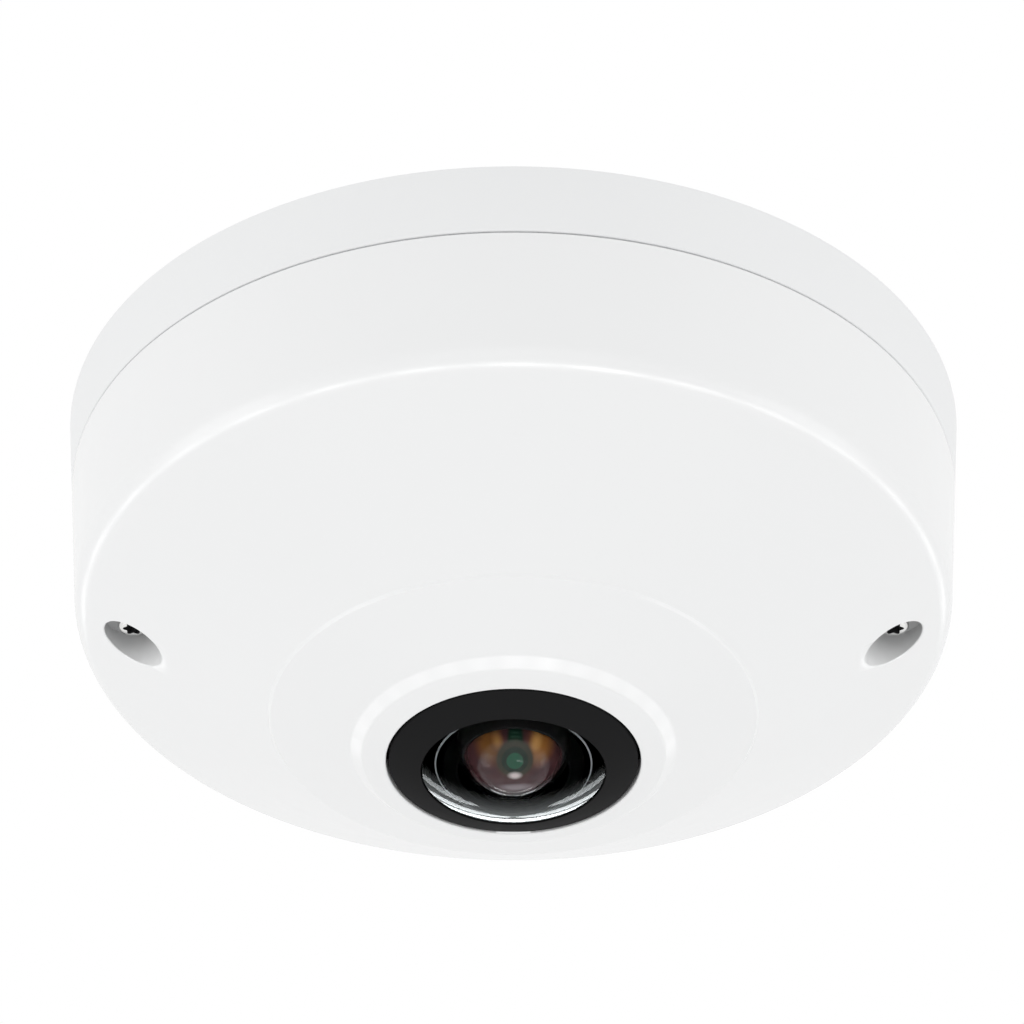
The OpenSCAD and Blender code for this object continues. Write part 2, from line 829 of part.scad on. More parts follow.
module power_header() {
    inner_w = header_w - 2 * header_wall;
    color("#efefe8") hang() power_place() difference() {
        block([header_w, header_l, header_h]);
        translate([0, header_wall, header_wall]) block([inner_w, header_l, header_h - 2 * header_wall]);
    }
}

module power_place() translate([header_x, header_y, board_depth_low]) children();

// Two pins that stand out of the header's back wall
module power_pins() {
    pin_t = 0.64;
    pin_l = header_l - 3 * header_wall;
    color("#c9c9c4") hang() power_place() for (side = [-1, 1])
        translate([side * header_w / 5, header_wall + (pin_l - header_l) / 2, header_h / 2])
            block([pin_t, pin_l, pin_t]);
}

module poe_transformer() {
    core_l = 12;
    flange_h = 1.6;
    color("#2a2b30") hang() translate([transformer_x, transformer_y, board_depth_low]) {
        rounded_block([transformer_w, core_l, flange_h], edge_round);
        at(flange_h) block([transformer_w * 3 / 4, core_l * 3 / 4, transformer_h - 2 * flange_h]);
        at(transformer_h - flange_h) rounded_block([transformer_w, core_l, flange_h], edge_round);
    }
}

module capacitors() {
    vent_h = 0.3;
    color("#3c4656") hang() for (spot = capacitor_spots)
        translate([spot.x, spot.y, board_depth_low]) difference() {
            disc(capacitor_d / 2, capacitor_h);
            at(capacitor_h - vent_h) for (angle = [0, 90])
                rotate(angle) block([capacitor_d / 2, vent_h, vent_h + overrun]);
        }
}

module inductors() {
    color("#3a3a3c") hang() at(board_depth_low)
        for (x = inductor_xs)
            translate([x, inductor_y, 0]) rounded_block([inductor_w, inductor_w, inductor_h], edge_round);
}

// Memory card and the slot that grips it
module card_slot() {
    inner_w = card_w + 2 * card_gap;
    inner_t = card_t + 2 * card_gap;
    color("#c2c5c8") hang()
        translate([card_x, card_slot_y - card_slot_l / 2, board_depth_low]) difference() {
            block([inner_w + 2 * card_slot_wall, card_slot_l, inner_t + 2 * card_slot_wall]);
            translate([0, -card_slot_wall, card_slot_wall])
                block([inner_w, card_slot_l + card_slot_wall, inner_t]);
        }
}

module memory_card() {
    notch = 0.8;
    color("#26282c") hang()
        translate([
            card_x,
            card_slot_y - card_l / 2 - card_slot_wall - card_gap,
            board_depth_low + card_slot_wall + card_gap
        ]) difference() {
            block([card_w, card_l, card_t]);
            translate([card_w / 2, card_l / 4, -overrun]) block([2 * notch, card_l, card_t + 2 * overrun]);
        }
}

// Reset switch and its button
module reset_switch() {
    case_wall = 0.6;
    color("#2a2a2c") hang() translate([switch_x, switch_y, board_depth_low]) difference() {
        block([switch_w, switch_w, switch_h]);
        at(case_wall) disc(button_d / 2 + seat_gap, switch_h);
    }
}

module reset_button() {
    case_wall = 0.6;
    stem_top = case_wall + button_travel + seat_gap;
    color("#b94a3c") hang() translate([switch_x, switch_y, board_depth_low + stem_top])
        disc(button_d / 2, switch_h + button_h - stem_top);
}

// Sockets at both ends of the flat cable
module flex_connectors() {
    color("#e8e2d2") hang() {
        ribbon_end(ribbon_board_x, board_depth_low, 1);
        ribbon_end(ribbon_sensor_x, sensor_board_depth - connector_h, 1);
    }
}

module ribbon_end(distance, depth, lift)
    translate([-distance + connector_l / 2, 0, depth]) difference() {
        block([connector_l, ribbon_w + 2 * chip_margin, connector_h]);
        translate([-connector_l / 2, 0, connector_h / 2 - ribbon_t / 2 - seat_gap])
            block([2 * connector_grip, ribbon_w + 2 * seat_gap, ribbon_t + 2 * seat_gap]);
    }

module camera_flex_cable() {
    grip_in = connector_grip - seat_gap;
    low = board_depth_low + connector_h / 2;
    high = sensor_board_depth - connector_h / 2;
    route = [
        [-ribbon_board_x + grip_in, low], [-ribbon_out_x, low],
        [-ribbon_out_x, high], [-ribbon_sensor_x + grip_in, high]
    ];
    strip = concat(beside(route, ribbon_t / 2), backwards(beside(route, -ribbon_t / 2)));
    color("#c98a3a") hang() rotate([90, 0, 0])
        translate([0, 0, -ribbon_w / 2]) linear_extrude(height = ribbon_w) polygon(strip);
}

// Camera plate and what it carries
module camera_plate() {
    slot_l = ribbon_w + 2 * chip_margin;
    slot_w = 3 * chip_margin + ribbon_t;
    color("#a9adb1") hang() at(plate_depth) difference() {
        disc(plate_d / 2, plate_t);
        round_places(standoff_r, standoff_angles) small_hole(plate_t + 2 * overrun);
        round_places(shroud_screw_r, shroud_screw_angles) small_hole(plate_t + 2 * overrun);
        sensor_screw_places() small_hole(plate_t + 2 * overrun);
        translate([-ribbon_out_x, 0, -overrun]) block([slot_w, slot_l, plate_t + 2 * overrun]);
        at(-overrun) disc(sensor_w / 2, plate_t + 2 * overrun);
    }
}

module sensor_screw_places()
    for (x = [-sensor_screw_x, sensor_screw_x], y = [-sensor_screw_x, sensor_screw_x])
        translate([x, y, 0]) children();

module camera_plate_screws() {
    color("#b8bcc0") hang() at(plate_depth_low) round_places(standoff_r, standoff_angles)
        small_screw(small_head_d, small_head_h, plate_t + small_grip - seat_gap);
}

module sensor_spacers() {
    color("#c8a24a") hang() at(plate_depth_low) sensor_screw_places()
        ring(small_head_d / 2, small_screw_d / 2 + seat_gap, spacer_l);
}

module sensor_board() {
    color("#1f5c3a") hang() at(sensor_board_depth) difference() {
        rounded_block([sensor_board_w, sensor_board_w, sensor_board_t], small_screw_d);
        sensor_screw_places() small_hole(sensor_board_t + 2 * overrun);
    }
}

module sensor_board_screws() {
    color("#b8bcc0") hang() at(sensor_depth + holder_flange_t) sensor_screw_places()
        small_screw(small_head_d, small_head_h, sensor_depth + holder_flange_t - plate_depth);
}

module image_sensor() {
    color("#30343a") hang() at(sensor_depth)
        rounded_block([sensor_w, sensor_w, sensor_h], edge_round);
}

module sensor_glass() {
    color("#7fa0a8", 0.6) hang() at(sensor_depth + sensor_h)
        block([sensor_w - 2 * chip_margin, sensor_w - 2 * chip_margin, sensor_glass_t]);
}

// Holder that carries the lens, with the channel for the filter carriage
module lens_holder() {
    color("#1b1c1e") hang() difference() {
        union() {
            at(sensor_depth)
                rounded_block([sensor_board_w - chip_margin, sensor_board_w - chip_margin, holder_flange_t], small_screw_d);
            at(sensor_depth) block([holder_l, holder_w, neck_base - sensor_depth]);
            at(neck_base) disc(holder_neck_d / 2, holder_neck_h);
        }
        at(sensor_depth) sensor_screw_places() small_hole(holder_flange_t + 2 * overrun);
        at(sensor_depth - overrun)
            block([sensor_w + 2 * seat_gap, sensor_w + 2 * seat_gap, sensor_space + overrun]);
        at(channel_depth) block([channel_l, channel_w, channel_t]);
        at(sensor_depth) block([window_w, window_w, neck_base - sensor_depth]);
        at(tail_depth - collar_gap) disc(tail_d / 2 + seat_gap, holder_top);
    }
}

module filter_carriage() {
    color("#222326") hang() carriage_place() difference() {
        block([carriage_l, carriage_w, carriage_t]);
        for (i = [0, 1]) pane_place(i) {
            at(-overrun) block([window_w, window_w, carriage_t + 2 * overrun]);
            at(carriage_t - pane_t) block([pane_w, pane_w, pane_t + overrun]);
        }
    }
}

// The carriage rests with its first pane over the sensor
module carriage_place()
    translate([filter_travel / 2, 0, channel_depth + carriage_gap]) children();

module pane_place(i)
    translate([(i - 1 / 2) * filter_travel, 0, 0]) children();

module filter_pane(i)
    carriage_place() pane_place(i) at(carriage_t - pane_t)
        block([pane_w - 2 * seat_gap, pane_w - 2 * seat_gap, pane_t]);

module ir_cut_glass() {
    color("#7fc4b8", 0.6) hang() filter_pane(0);
}

module clear_glass() {
    color("#dfe8ea", 0.5) hang() filter_pane(1);
}

module filter_coil() {
    color("#b0622c") hang()
        translate([0, holder_w / 2 + coil_t / 2, sensor_depth + holder_flange_t])
            rounded_block([coil_w, coil_t, coil_h], edge_round);
}

// Lens
module lens_lock_ring() {
    color("#2a2c30") hang() at(holder_top)
        ring(holder_neck_d / 2, tail_d / 2 + seat_gap, lock_ring_t);
}

module lens_barrel() {
    second_bore = second_d / 2 + lens_gap;
    third_bore = third_d / 2 + lens_gap;
    rear_bore = rear_d / 2 + lens_gap;
    rear_window = rear_bore - seat_t;
    neck_foot = cup_depth - neck_taper_h;
    collar_top = second_front - collar_gap;
    color("#17181a") hang() rotate_extrude() polygon([
        [cup_r, cup_depth], [cup_r, ledge_depth],
        [barrel_r, ledge_depth], [barrel_r, cup_depth - barrel_floor],
        [waist_r, neck_foot], [waist_r, tail_top],
        [tail_d / 2, tail_top], [tail_d / 2, tail_depth],
        [rear_window, tail_depth], [rear_window, rear_depth],
        [rear_bore, rear_depth], [rear_bore, third_seat],
        [rear_bore, stop_depth],
        [third_bore, stop_depth], [third_bore, second_seat],
        [second_bore, second_seat], [second_bore, collar_top],
        [second_bore + second_rim_w, collar_top], [hollow_d / 2, cup_depth]
    ]);
}

// The front glass: a dome with a ledge for its ring and a hollow back
module front_lens() {
    dome_r = (pow(glass_d / 2, 2) + pow(glass_rise, 2)) / (2 * glass_rise);
    hollow_rise = glass_rim_depth + glass_rise - glass_middle_t - flange_depth;
    hollow_r = (pow(hollow_d / 2, 2) + pow(hollow_rise, 2)) / (2 * hollow_rise);
    color("#5a6b66", 0.5) hang() difference() {
        union() {
            at(flange_depth) disc(glass_flange_r, glass_flange_t);
            intersection() {
                at(flange_depth) disc(glass_d / 2, glass_rim_depth + glass_rise);
                at(glass_rim_depth + glass_rise - dome_r) sphere(r = dome_r);
            }
        }
        at(flange_depth + hollow_rise - hollow_r) sphere(r = hollow_r);
    }
}

module front_lens_seal() {
    color("#1a1a1a") hang() at(cup_depth) ring(cup_r - lens_gap, hollow_d / 2 + lens_gap, glass_seal_t);
}

module front_lens_ring() {
    outer = barrel_r + seat_gap + ring_skirt_t;
    color("#1d1e21") hang() {
        at(ledge_depth) ring(outer, glass_d / 2 + seat_gap, ring_lip_t);
        at(ledge_depth - ring_h) ring(outer, barrel_r + seat_gap, ring_h);
    }
}

module second_lens() {
    dish = 2;
    front_r = (pow(second_d / 2, 2) + pow(second_rise, 2)) / (2 * second_rise);
    back_r = (pow(second_d / 3, 2) + pow(dish, 2)) / (2 * dish);
    color("#6b4a2a", 0.6) hang() difference() {
        union() {
            at(second_depth) disc(second_d / 2, second_t);
            intersection() {
                at(second_front) disc(second_d / 2, second_rise);
                at(second_front + second_rise - front_r) sphere(r = front_r);
            }
        }
        at(second_depth + dish - back_r) sphere(r = back_r);
    }
}

module lens_spacers() {
    color("#2a2c30") hang() at(second_seat)
        ring(second_d / 2, second_d / 2 - 2 * spacer_wall, second_spacer_t);
}

module third_lens() {
    color("#4d5f52", 0.6) hang() at(third_depth) disc(third_d / 2, third_t);
}

module aperture_stop() {
    color("#0c0c0d") hang() at(stop_depth) ring(third_d / 2, stop_hole_d / 2, stop_t);
}

module rear_lens() {
    color("#55685a", 0.6) hang() at(rear_depth) disc(rear_d / 2, rear_t);
}

// Shroud and bezel in front of the camera
module lens_shroud() {
    flange_t = shroud_wall;
    color("#1b1c1e") hang() difference() {
        rotate_extrude() polygon([
            [shroud_r - shroud_wall, plate_depth_low], [shroud_flange_r, plate_depth_low],
            [shroud_flange_r, plate_depth_low + flange_t], [shroud_r, plate_depth_low + flange_t],
            [shroud_r, shroud_shoulder_depth], [bezel_r, shroud_neck_depth],
            [bezel_r, bezel_back], [shroud_neck_in_r, bezel_back],
            [shroud_neck_in_r, shroud_neck_depth - shroud_wall],
            [shroud_r - shroud_wall, shroud_shoulder_depth - shroud_wall]
        ]);
        at(plate_depth_low) round_places(shroud_screw_r, shroud_screw_angles)
            small_hole(flange_t + 2 * overrun);
        key_notch();
    }
}

module shroud_screws() {
    color("#b8bcc0") hang() at(plate_depth_low + shroud_wall)
        round_places(shroud_screw_r, shroud_screw_angles)
            small_screw(shroud_head_d, shroud_head_h, shroud_wall + plate_t);
}

module lens_bezel() {
    color("#232427") hang() difference() {
        turned([
            [bezel_r, bezel_back, 0],
            [bezel_r, bezel_edge, lip_round / 2],
            [bezel_bore_r, bezel_front, 0],
            [bezel_bore_r, bezel_front - bezel_t, 0],
            [shroud_neck_in_r, bezel_edge + (bezel_r - shroud_neck_in_r) * bezel_slope - bezel_t, 0],
            [shroud_neck_in_r, bezel_back, 0]
        ]);
        key_notch();
    }
}

// Flat in the rim that leaves room for the cover's key
module key_notch()
    translate([0, lens_hole_r - key_h - key_play + overrun, shroud_neck_depth])
        block([key_w + 2 * key_play, 2 * overrun, collar_depth]);

// Cover
module cover_form()
    turned([
        [cover_edge_r, cover_edge_depth, edge_round],
        [shoulder_r, shoulder_depth, shoulder_round],
        [step_r + step_h, step_depth - step_h * cone_slope, 0],
        [step_r, step_depth + step_h, step_h / 2],
        [foot_r, collar_foot_depth, foot_round],
        [crown_r, crown_depth, crown_round],
        [lens_hole_r, collar_depth, lip_round],
        [lens_hole_r, cover_edge_depth, 0]
    ]);

module cover_cavity() {
    skin = [
        [cover_edge_r, cover_edge_depth - overrun], [shoulder_r, shoulder_depth],
        [step_r, step_depth], [foot_r, collar_foot_depth],
        [lens_hole_r - overrun, collar_foot_depth + (foot_r - lens_hole_r + overrun) * front_slope]
    ];
    inner = beside(skin, -cover_wall);
    rotate_extrude() polygon(concat(inner, [[lens_hole_r - overrun, cover_edge_depth - overrun]]));
}

module cover_boss_places()
    for (side = [-1, 1]) translate([side * screw_r, 0, 0]) children();

module cover() {
    color("#eeefef") hang() union() {
        difference() {
            cover_form();
            difference() {
                cover_cavity();
                at(boss_depth) cover_boss_places() disc(recess_d / 2 + recess_wall, shoulder_depth);
            }
            cover_boss_places() {
                at(screw_seat_depth) disc(recess_d / 2, shoulder_depth);
                disc(screw_d / 2 + shank_play, screw_seat_depth + overrun);
            }
        }
        translate([0, lens_hole_r - key_h + cover_wall / 4, collar_depth - cover_wall])
            block([key_w, cover_wall / 2, cover_wall - lip_round]);
    }
}

// Cover screws, each held captive by a clip on its shank
module cover_screw(side) {
    star = [for (i = [0 : 11]) (i % 2 == 0 ? star_r : star_waist_r) * [cos(i * 30), sin(i * 30)]];
    color("#c9cccf") hang() translate([side * screw_r, 0, screw_seat_depth]) difference() {
        union() {
            turned([
                [0, 0, 0], [screw_head_d / 2, 0, 0],
                [screw_head_d / 2, screw_head_h, screw_head_h / 3], [0, screw_head_h, 0]
            ]);
            at(-screw_l) disc(screw_d / 2, screw_l);
        }
        at(screw_head_h - star_h) linear_extrude(height = star_h + overrun) polygon(star);
        at(clip_depth - clip_play - screw_seat_depth)
            ring(screw_d, groove_d / 2, clip_t + 2 * clip_play);
    }
}

module cover_screw_left() {
    cover_screw(-1);
}

module cover_screw_right() {
    cover_screw(1);
}

module screw_clip(side) {
    color("#9fa3a7") hang() translate([side * screw_r, 0, clip_depth]) difference() {
        ring(clip_d / 2, groove_d / 2 + seat_gap, clip_t);
        translate([0, clip_d / 2, -overrun]) block([groove_d * 3 / 4, clip_d, clip_t + 2 * overrun]);
    }
}

module screw_clip_left() {
    screw_clip(-1);
}

module screw_clip_right() {
    screw_clip(1);
}

mounting_base();
ceiling_gasket();
cable_grommet();
cover_seal();
screw_inserts();
main_board();
main_board_screws();
board_standoffs();
processor();
thermal_pad();
heat_sink();
heat_sink_screws();
memory_chips();
network_transformer();
network_jack();
jack_shield();
jack_contacts();
power_header();
power_pins();
poe_transformer();
capacitors();
inductors();
card_slot();
memory_card();
reset_switch();
reset_button();
flex_connectors();
camera_flex_cable();
camera_plate();
camera_plate_screws();
sensor_spacers();
sensor_board();
sensor_board_screws();
image_sensor();
sensor_glass();
lens_holder();
filter_carriage();
ir_cut_glass();
clear_glass();
filter_coil();
lens_lock_ring();
lens_barrel();
front_lens();
front_lens_seal();
front_lens_ring();
second_lens();
lens_spacers();
third_lens();
aperture_stop();
rear_lens();
lens_shroud();
shroud_screws();
lens_bezel();
cover();
cover_screw_left();
cover_screw_right();
screw_clip_left();
screw_clip_right();
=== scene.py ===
# %% [markdown]
# # A ceiling fisheye camera, hanging lens down
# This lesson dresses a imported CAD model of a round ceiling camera. The model gives every piece its place,
# size and motion. Here each visible piece gets the shape and the finish that the eye expects.
# Everything is in metres, Z points up into the ceiling, and the origin is the middle of the flat back.
# Sizes are typed in millimetres, as a maker says them, and MM turns them into metres.

# %% Load the frame
import bmesh
import bpy
import json
from math import acos, asin, cos, hypot, pi, radians, sin, tan
from mathutils import Matrix, Vector

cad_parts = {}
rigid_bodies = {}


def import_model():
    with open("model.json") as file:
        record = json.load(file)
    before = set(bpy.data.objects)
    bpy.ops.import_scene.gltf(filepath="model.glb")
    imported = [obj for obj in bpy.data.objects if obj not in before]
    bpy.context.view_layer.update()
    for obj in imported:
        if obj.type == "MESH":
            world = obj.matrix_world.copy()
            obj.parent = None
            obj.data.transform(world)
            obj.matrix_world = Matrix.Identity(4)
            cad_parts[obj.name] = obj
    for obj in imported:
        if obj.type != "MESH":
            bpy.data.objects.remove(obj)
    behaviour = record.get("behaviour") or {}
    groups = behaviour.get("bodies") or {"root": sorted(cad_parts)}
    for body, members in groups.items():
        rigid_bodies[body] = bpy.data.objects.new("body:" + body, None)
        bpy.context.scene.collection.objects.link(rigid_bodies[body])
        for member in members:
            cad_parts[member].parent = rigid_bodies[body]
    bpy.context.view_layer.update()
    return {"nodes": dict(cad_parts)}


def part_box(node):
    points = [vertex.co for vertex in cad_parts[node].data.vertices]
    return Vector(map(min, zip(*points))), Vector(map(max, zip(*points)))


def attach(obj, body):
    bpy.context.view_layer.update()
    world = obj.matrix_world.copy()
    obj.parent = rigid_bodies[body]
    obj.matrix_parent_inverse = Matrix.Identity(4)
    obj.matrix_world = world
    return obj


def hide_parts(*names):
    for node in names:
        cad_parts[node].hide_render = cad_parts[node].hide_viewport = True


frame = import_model()
nodes = frame["nodes"]
MM = 0.001
TURN = 2 * pi
print("nodes in the frame:", len(nodes))

# %% [markdown]
# ## The view
# The photograph is taken from below and in front with a long lens, so the picture is nearly orthographic.
# The camera is placed by a short sum: it looks up at 35.5 degrees, and three distances along its own axes say
# where the middle of the back lies. A long focal length with a matching distance keeps the flat look.

# %% Camera
FRAME_WIDTH = 36.0
PHOTO_WIDTH = 1024
FOCAL_PIXELS = 15000
LOOK_UP = radians(35.5)
AIM_RIGHT = 0.24 * MM
AIM_DOWN = -13.70 * MM
AIM_AWAY = 2537.9 * MM


def make_camera():
    right = Vector((1, 0, 0))
    down = Vector((0, sin(LOOK_UP), -cos(LOOK_UP)))
    away = Vector((0, cos(LOOK_UP), sin(LOOK_UP)))
    place = -(AIM_RIGHT * right + AIM_DOWN * down + AIM_AWAY * away)
    data = bpy.data.cameras.new("photo_camera")
    data.sensor_width = FRAME_WIDTH
    data.lens = FOCAL_PIXELS / PHOTO_WIDTH * FRAME_WIDTH
    data.clip_end = 100
    camera = bpy.data.objects.new("photo_camera", data)
    turned_to = Matrix((right, -down, -away)).transposed().to_4x4()
    camera.matrix_world = Matrix.Translation(place) @ turned_to
    bpy.context.scene.collection.objects.link(camera)
    bpy.context.scene.camera = camera
    return camera


camera = make_camera()
print("camera at", [round(v, 3) for v in camera.matrix_world.translation], "lens", round(camera.data.lens, 1))

# %% [markdown]
# ## Light and floor
# White moulded plastic shows its form through very small steps of grey, so the light is soft and comes from
# all round, and a few weak panels lift one side or another by a step.
# The background is pure white for the eye and for reflections, and the light on the object is set apart
# from it, so that brightening the background never washes out the white shell.

# %% World
SKY_LIGHT = 0.873


def is_seen_ray(tree):
    path = tree.nodes.new("ShaderNodeLightPath")
    link = path.outputs["Is Camera Ray"]
    for name in ("Is Glossy Ray", "Is Transmission Ray"):
        either = tree.nodes.new("ShaderNodeMath")
        either.operation = "MAXIMUM"
        tree.links.new(link, either.inputs[0])
        tree.links.new(path.outputs[name], either.inputs[1])
        link = either.outputs[0]
    return link


def make_world():
    world = bpy.data.worlds.new("studio")
    bpy.context.scene.world = world
    world.use_nodes = True
    tree = world.node_tree
    tree.nodes.clear()
    mix = tree.nodes.new("ShaderNodeMixShader")
    tree.links.new(is_seen_ray(tree), mix.inputs[0])
    for place, strength in ((1, SKY_LIGHT), (2, 1.0)):
        light = tree.nodes.new("ShaderNodeBackground")
        light.inputs["Color"].default_value = (1, 1, 1, 1)
        light.inputs["Strength"].default_value = strength
        tree.links.new(light.outputs[0], mix.inputs[place])
    out = tree.nodes.new("ShaderNodeOutputWorld")
    tree.links.new(mix.outputs[0], out.inputs[0])


make_world()
bpy.context.scene.view_settings.view_transform = "Standard"

# %% [markdown]
# The floor lies far below, because the camera itself looks up from under the object. It is a pale paint with
# just enough glow to meet the white background without a horizon line, and it still takes a shadow.

# %% Floor
FLOOR_DROP = 1.75
FLOOR_REACH = 60.0
FLOOR_GLOW = 0.26
FLOOR_TONE = 0.9
FLOOR_ROUGHNESS = 0.9


def make_floor():
    bm = bmesh.new()
    bmesh.ops.create_circle(bm, cap_ends=True, segments=96, radius=FLOOR_REACH)
    bmesh.ops.translate(bm, verts=bm.verts, vec=(0, 0, -FLOOR_DROP))
    mesh = bpy.data.meshes.new("floor")
    bm.to_mesh(mesh)
    bm.free()
    floor = bpy.data.objects.new("floor", mesh)
    bpy.context.scene.collection.objects.link(floor)
    material = bpy.data.materials.new("floor_paint")
    material.use_nodes = True
    tree = material.node_tree
    paint = tree.nodes["Principled BSDF"]
    paint.inputs["Base Color"].default_value = (FLOOR_TONE, FLOOR_TONE, FLOOR_TONE, 1)
    paint.inputs["Roughness"].default_value = FLOOR_ROUGHNESS
    glow = tree.nodes.new("ShaderNodeEmission")
    strength = tree.nodes.new("ShaderNodeMath")
    strength.operation = "MULTIPLY"
    strength.inputs[1].default_value = FLOOR_GLOW
    both = tree.nodes.new("ShaderNodeAddShader")
    tree.links.new(is_seen_ray(tree), strength.inputs[0])
    tree.links.new(strength.outputs[0], glow.inputs["Strength"])
    tree.links.new(paint.outputs[0], both.inputs[0])
    tree.links.new(glow.outputs[0], both.inputs[1])
    tree.links.new(both.outputs[0], tree.nodes["Material Output"].inputs["Surface"])
    mesh.materials.append(material)


make_floor()

# %% [markdown]
# Each panel is an oval area lamp that faces the origin. The table gives its direction, its width and height
# in metres and its power in watts. The narrow one draws the light line on the collar.

# %% Panels
PANEL_AWAY = 1.5
PANELS = {
    "front_panel": ((0, -0.995, -0.1), (1.5, 1.0), 1.2),
    "low_panel": ((0.05, 0.35, -0.94), (1.8, 1.8), 1.7),
    "collar_panel": ((0.25, -0.56, -0.79), (0.5, 0.12), 0.6),
    "left_panel": ((-0.93, -0.25, -0.28), (1.0, 1.0), 3.4),
    "right_panel": ((0.93, -0.25, -0.28), (1.0, 1.0), 2.7),
}


def soft_panel(name, direction, size, power, distance=PANEL_AWAY):
    place = Vector(direction).normalized() * distance
    data = bpy.data.lights.new(name, "AREA")
    data.shape = "ELLIPSE"
    data.size, data.size_y = size
    data.energy = power
    lamp = bpy.data.objects.new(name, data)
    lamp.location = place
    lamp.rotation_euler = (-place).to_track_quat("-Z", "Y").to_euler()
    bpy.context.scene.collection.objects.link(lamp)
    return lamp


for name, (direction, size, power) in PANELS.items():
    soft_panel(name, direction, size, power)
print("panels:", len(PANELS))

# %% [markdown]
# A curved surface shows a bright line where it mirrors a lamp towards the camera. The mirror rule gives the
# direction to that lamp from the surface's normal, so a row of normals round the axis gives a row of lamps.
# Light linking shows each row to one piece alone.

# %% Rows of mirrored lamps


def mirrored(normal):
    """The direction that a surface with this normal mirrors towards the camera."""
    looking = Vector((0, cos(LOOK_UP), sin(LOOK_UP)))
    return looking - 2 * looking.dot(normal) * normal


def mirrored_row(name, piece, side, tilt, turns, size, powers, distance=PANEL_AWAY):
    """Lamps for one piece: side is -1 on its near half and 1 on its far half, turns are in degrees."""
    lit = bpy.data.collections.new("lit_" + piece.name)
    lit.objects.link(piece)
    lamps = []
    for degrees in turns:
        turn = radians(degrees)
        normal = Vector((cos(tilt) * sin(turn), side * cos(tilt) * cos(turn), -sin(tilt)))
        power = powers[0] + powers[1] * abs(degrees)
        lamp = soft_panel(name, mirrored(normal), size, power, distance)
        lamp.light_linking.receiver_collection = lit
        lamps.append(lamp)
    return lamps


# %% [markdown]
# ## Tools for turned pieces
# Nearly everything on this camera is round, so most pieces are turned: an outline is drawn once as radius
# and depth below the ceiling, its corners are rounded, and bmesh's spin carries it round the Z axis.
# A finished piece is shaded smooth, and only edges sharper than a set angle stay crisp.

# %% Outlines
ROUND_STEPS = 6


def corner_arc(before, corner, after, radius):
    towards = (before - corner).normalized()
    onwards = (after - corner).normalized()
    half = towards.angle(onwards) / 2
    centre = corner + (towards + onwards).normalized() * (radius / sin(half))
    first = corner + towards * (radius / tan(half)) - centre
    last = corner + onwards * (radius / tan(half)) - centre
    swing = -first.angle_signed(last)
    return [centre + Matrix.Rotation(swing * i / ROUND_STEPS, 2) @ first for i in range(ROUND_STEPS + 1)]


def rounded(corners):
    flat = [Vector(corner[:2]) for corner in corners]
    line = []
    for i, corner in enumerate(corners):
        if len(corner) == 2:
            line.append(flat[i])
        else:
            line += corner_arc(flat[i - 1], flat[i], flat[(i + 1) % len(flat)], corner[2])
    return line


def dome(rim_radius, rim_depth, top_depth, steps=24):
    """A spherical cap's outline from its top on the axis out to its rim."""
    rise = top_depth - rim_depth
    radius = (rim_radius ** 2 + rise ** 2) / (2 * rise)
    swing = asin(rim_radius / abs(radius))
    return [
        Vector((abs(radius) * sin(swing * i / steps), top_depth - radius * (1 - cos(swing * i / steps))))
        for i in range(steps + 1)
    ]


# %% Turning and finishing
SEGMENTS = 256
MERGE = 0.001 * MM
CRISP_FROM = radians(32)


def smoothed(mesh):
    mesh.shade_smooth()
    mesh.set_sharp_from_angle(angle=CRISP_FROM)


def finished(name, bm):
    bmesh.ops.remove_doubles(bm, verts=bm.verts, dist=MERGE)
    bmesh.ops.recalc_face_normals(bm, faces=bm.faces)
    mesh = bpy.data.meshes.new(name)
    bm.to_mesh(mesh)
    bm.free()
    smoothed(mesh)
    piece = bpy.data.objects.new(name, mesh)
    bpy.context.scene.collection.objects.link(piece)
    return piece


def turn_into(bm, line, closed=True, segments=SEGMENTS, centre=(0, 0)):
    x, y = centre
    verts = [bm.verts.new(((x + p.x) * MM, y * MM, -p.y * MM)) for p in line]
    edges = [bm.edges.new(pair) for pair in zip(verts, verts[1:])]
    if closed:
        edges.append(bm.edges.new((verts[-1], verts[0])))
    middle, up = (x * MM, y * MM, 0), (0, 0, 1)
    bmesh.ops.spin(
        bm, geom=verts + edges, cent=middle, axis=up, angle=TURN, steps=segments, use_merge=True
    )


def turned(name, line, closed=True, segments=SEGMENTS):
    bm = bmesh.new()
    turn_into(bm, line, closed, segments)
    return finished(name, bm)


# %% [markdown]
# Holes and recesses are cut with Boolean modifiers that are applied at once, so the finished mesh is plain.
# The exact solver keeps the walls closed. The hair-thin faces that a cut can leave are merged away, because
# they would spoil the smooth shading, and the edges are marked sharp again after each cut.

# %% Cutting and joining
SLIVER = 0.004 * MM


def without_slivers(mesh):
    bm = bmesh.new()
    bm.from_mesh(mesh)
    bmesh.ops.remove_doubles(bm, verts=bm.verts, dist=SLIVER)
    bmesh.ops.dissolve_degenerate(bm, dist=SLIVER, edges=bm.edges)
    bm.to_mesh(mesh)
    bm.free()


def combined(piece, tool, operation):
    change = piece.modifiers.new(operation.lower(), "BOOLEAN")
    change.operation = operation
    change.solver = "EXACT"
    change.object = tool
    mesh = bpy.data.meshes.new_from_object(piece.evaluated_get(bpy.context.evaluated_depsgraph_get()))
    piece.modifiers.clear()
    old = piece.data
    piece.data = mesh
    mesh.name = piece.name
    bpy.data.meshes.remove(old)
    bpy.data.objects.remove(tool)
    without_slivers(mesh)
    smoothed(mesh)
    return piece


def cut(piece, tool):
    return combined(piece, tool, "DIFFERENCE")


def joined(piece, tool):
    return combined(piece, tool, "UNION")


def disc_line(radius, low, high):
    return [Vector((0, low)), Vector((radius, low)), Vector((radius, high)), Vector((0, high))]


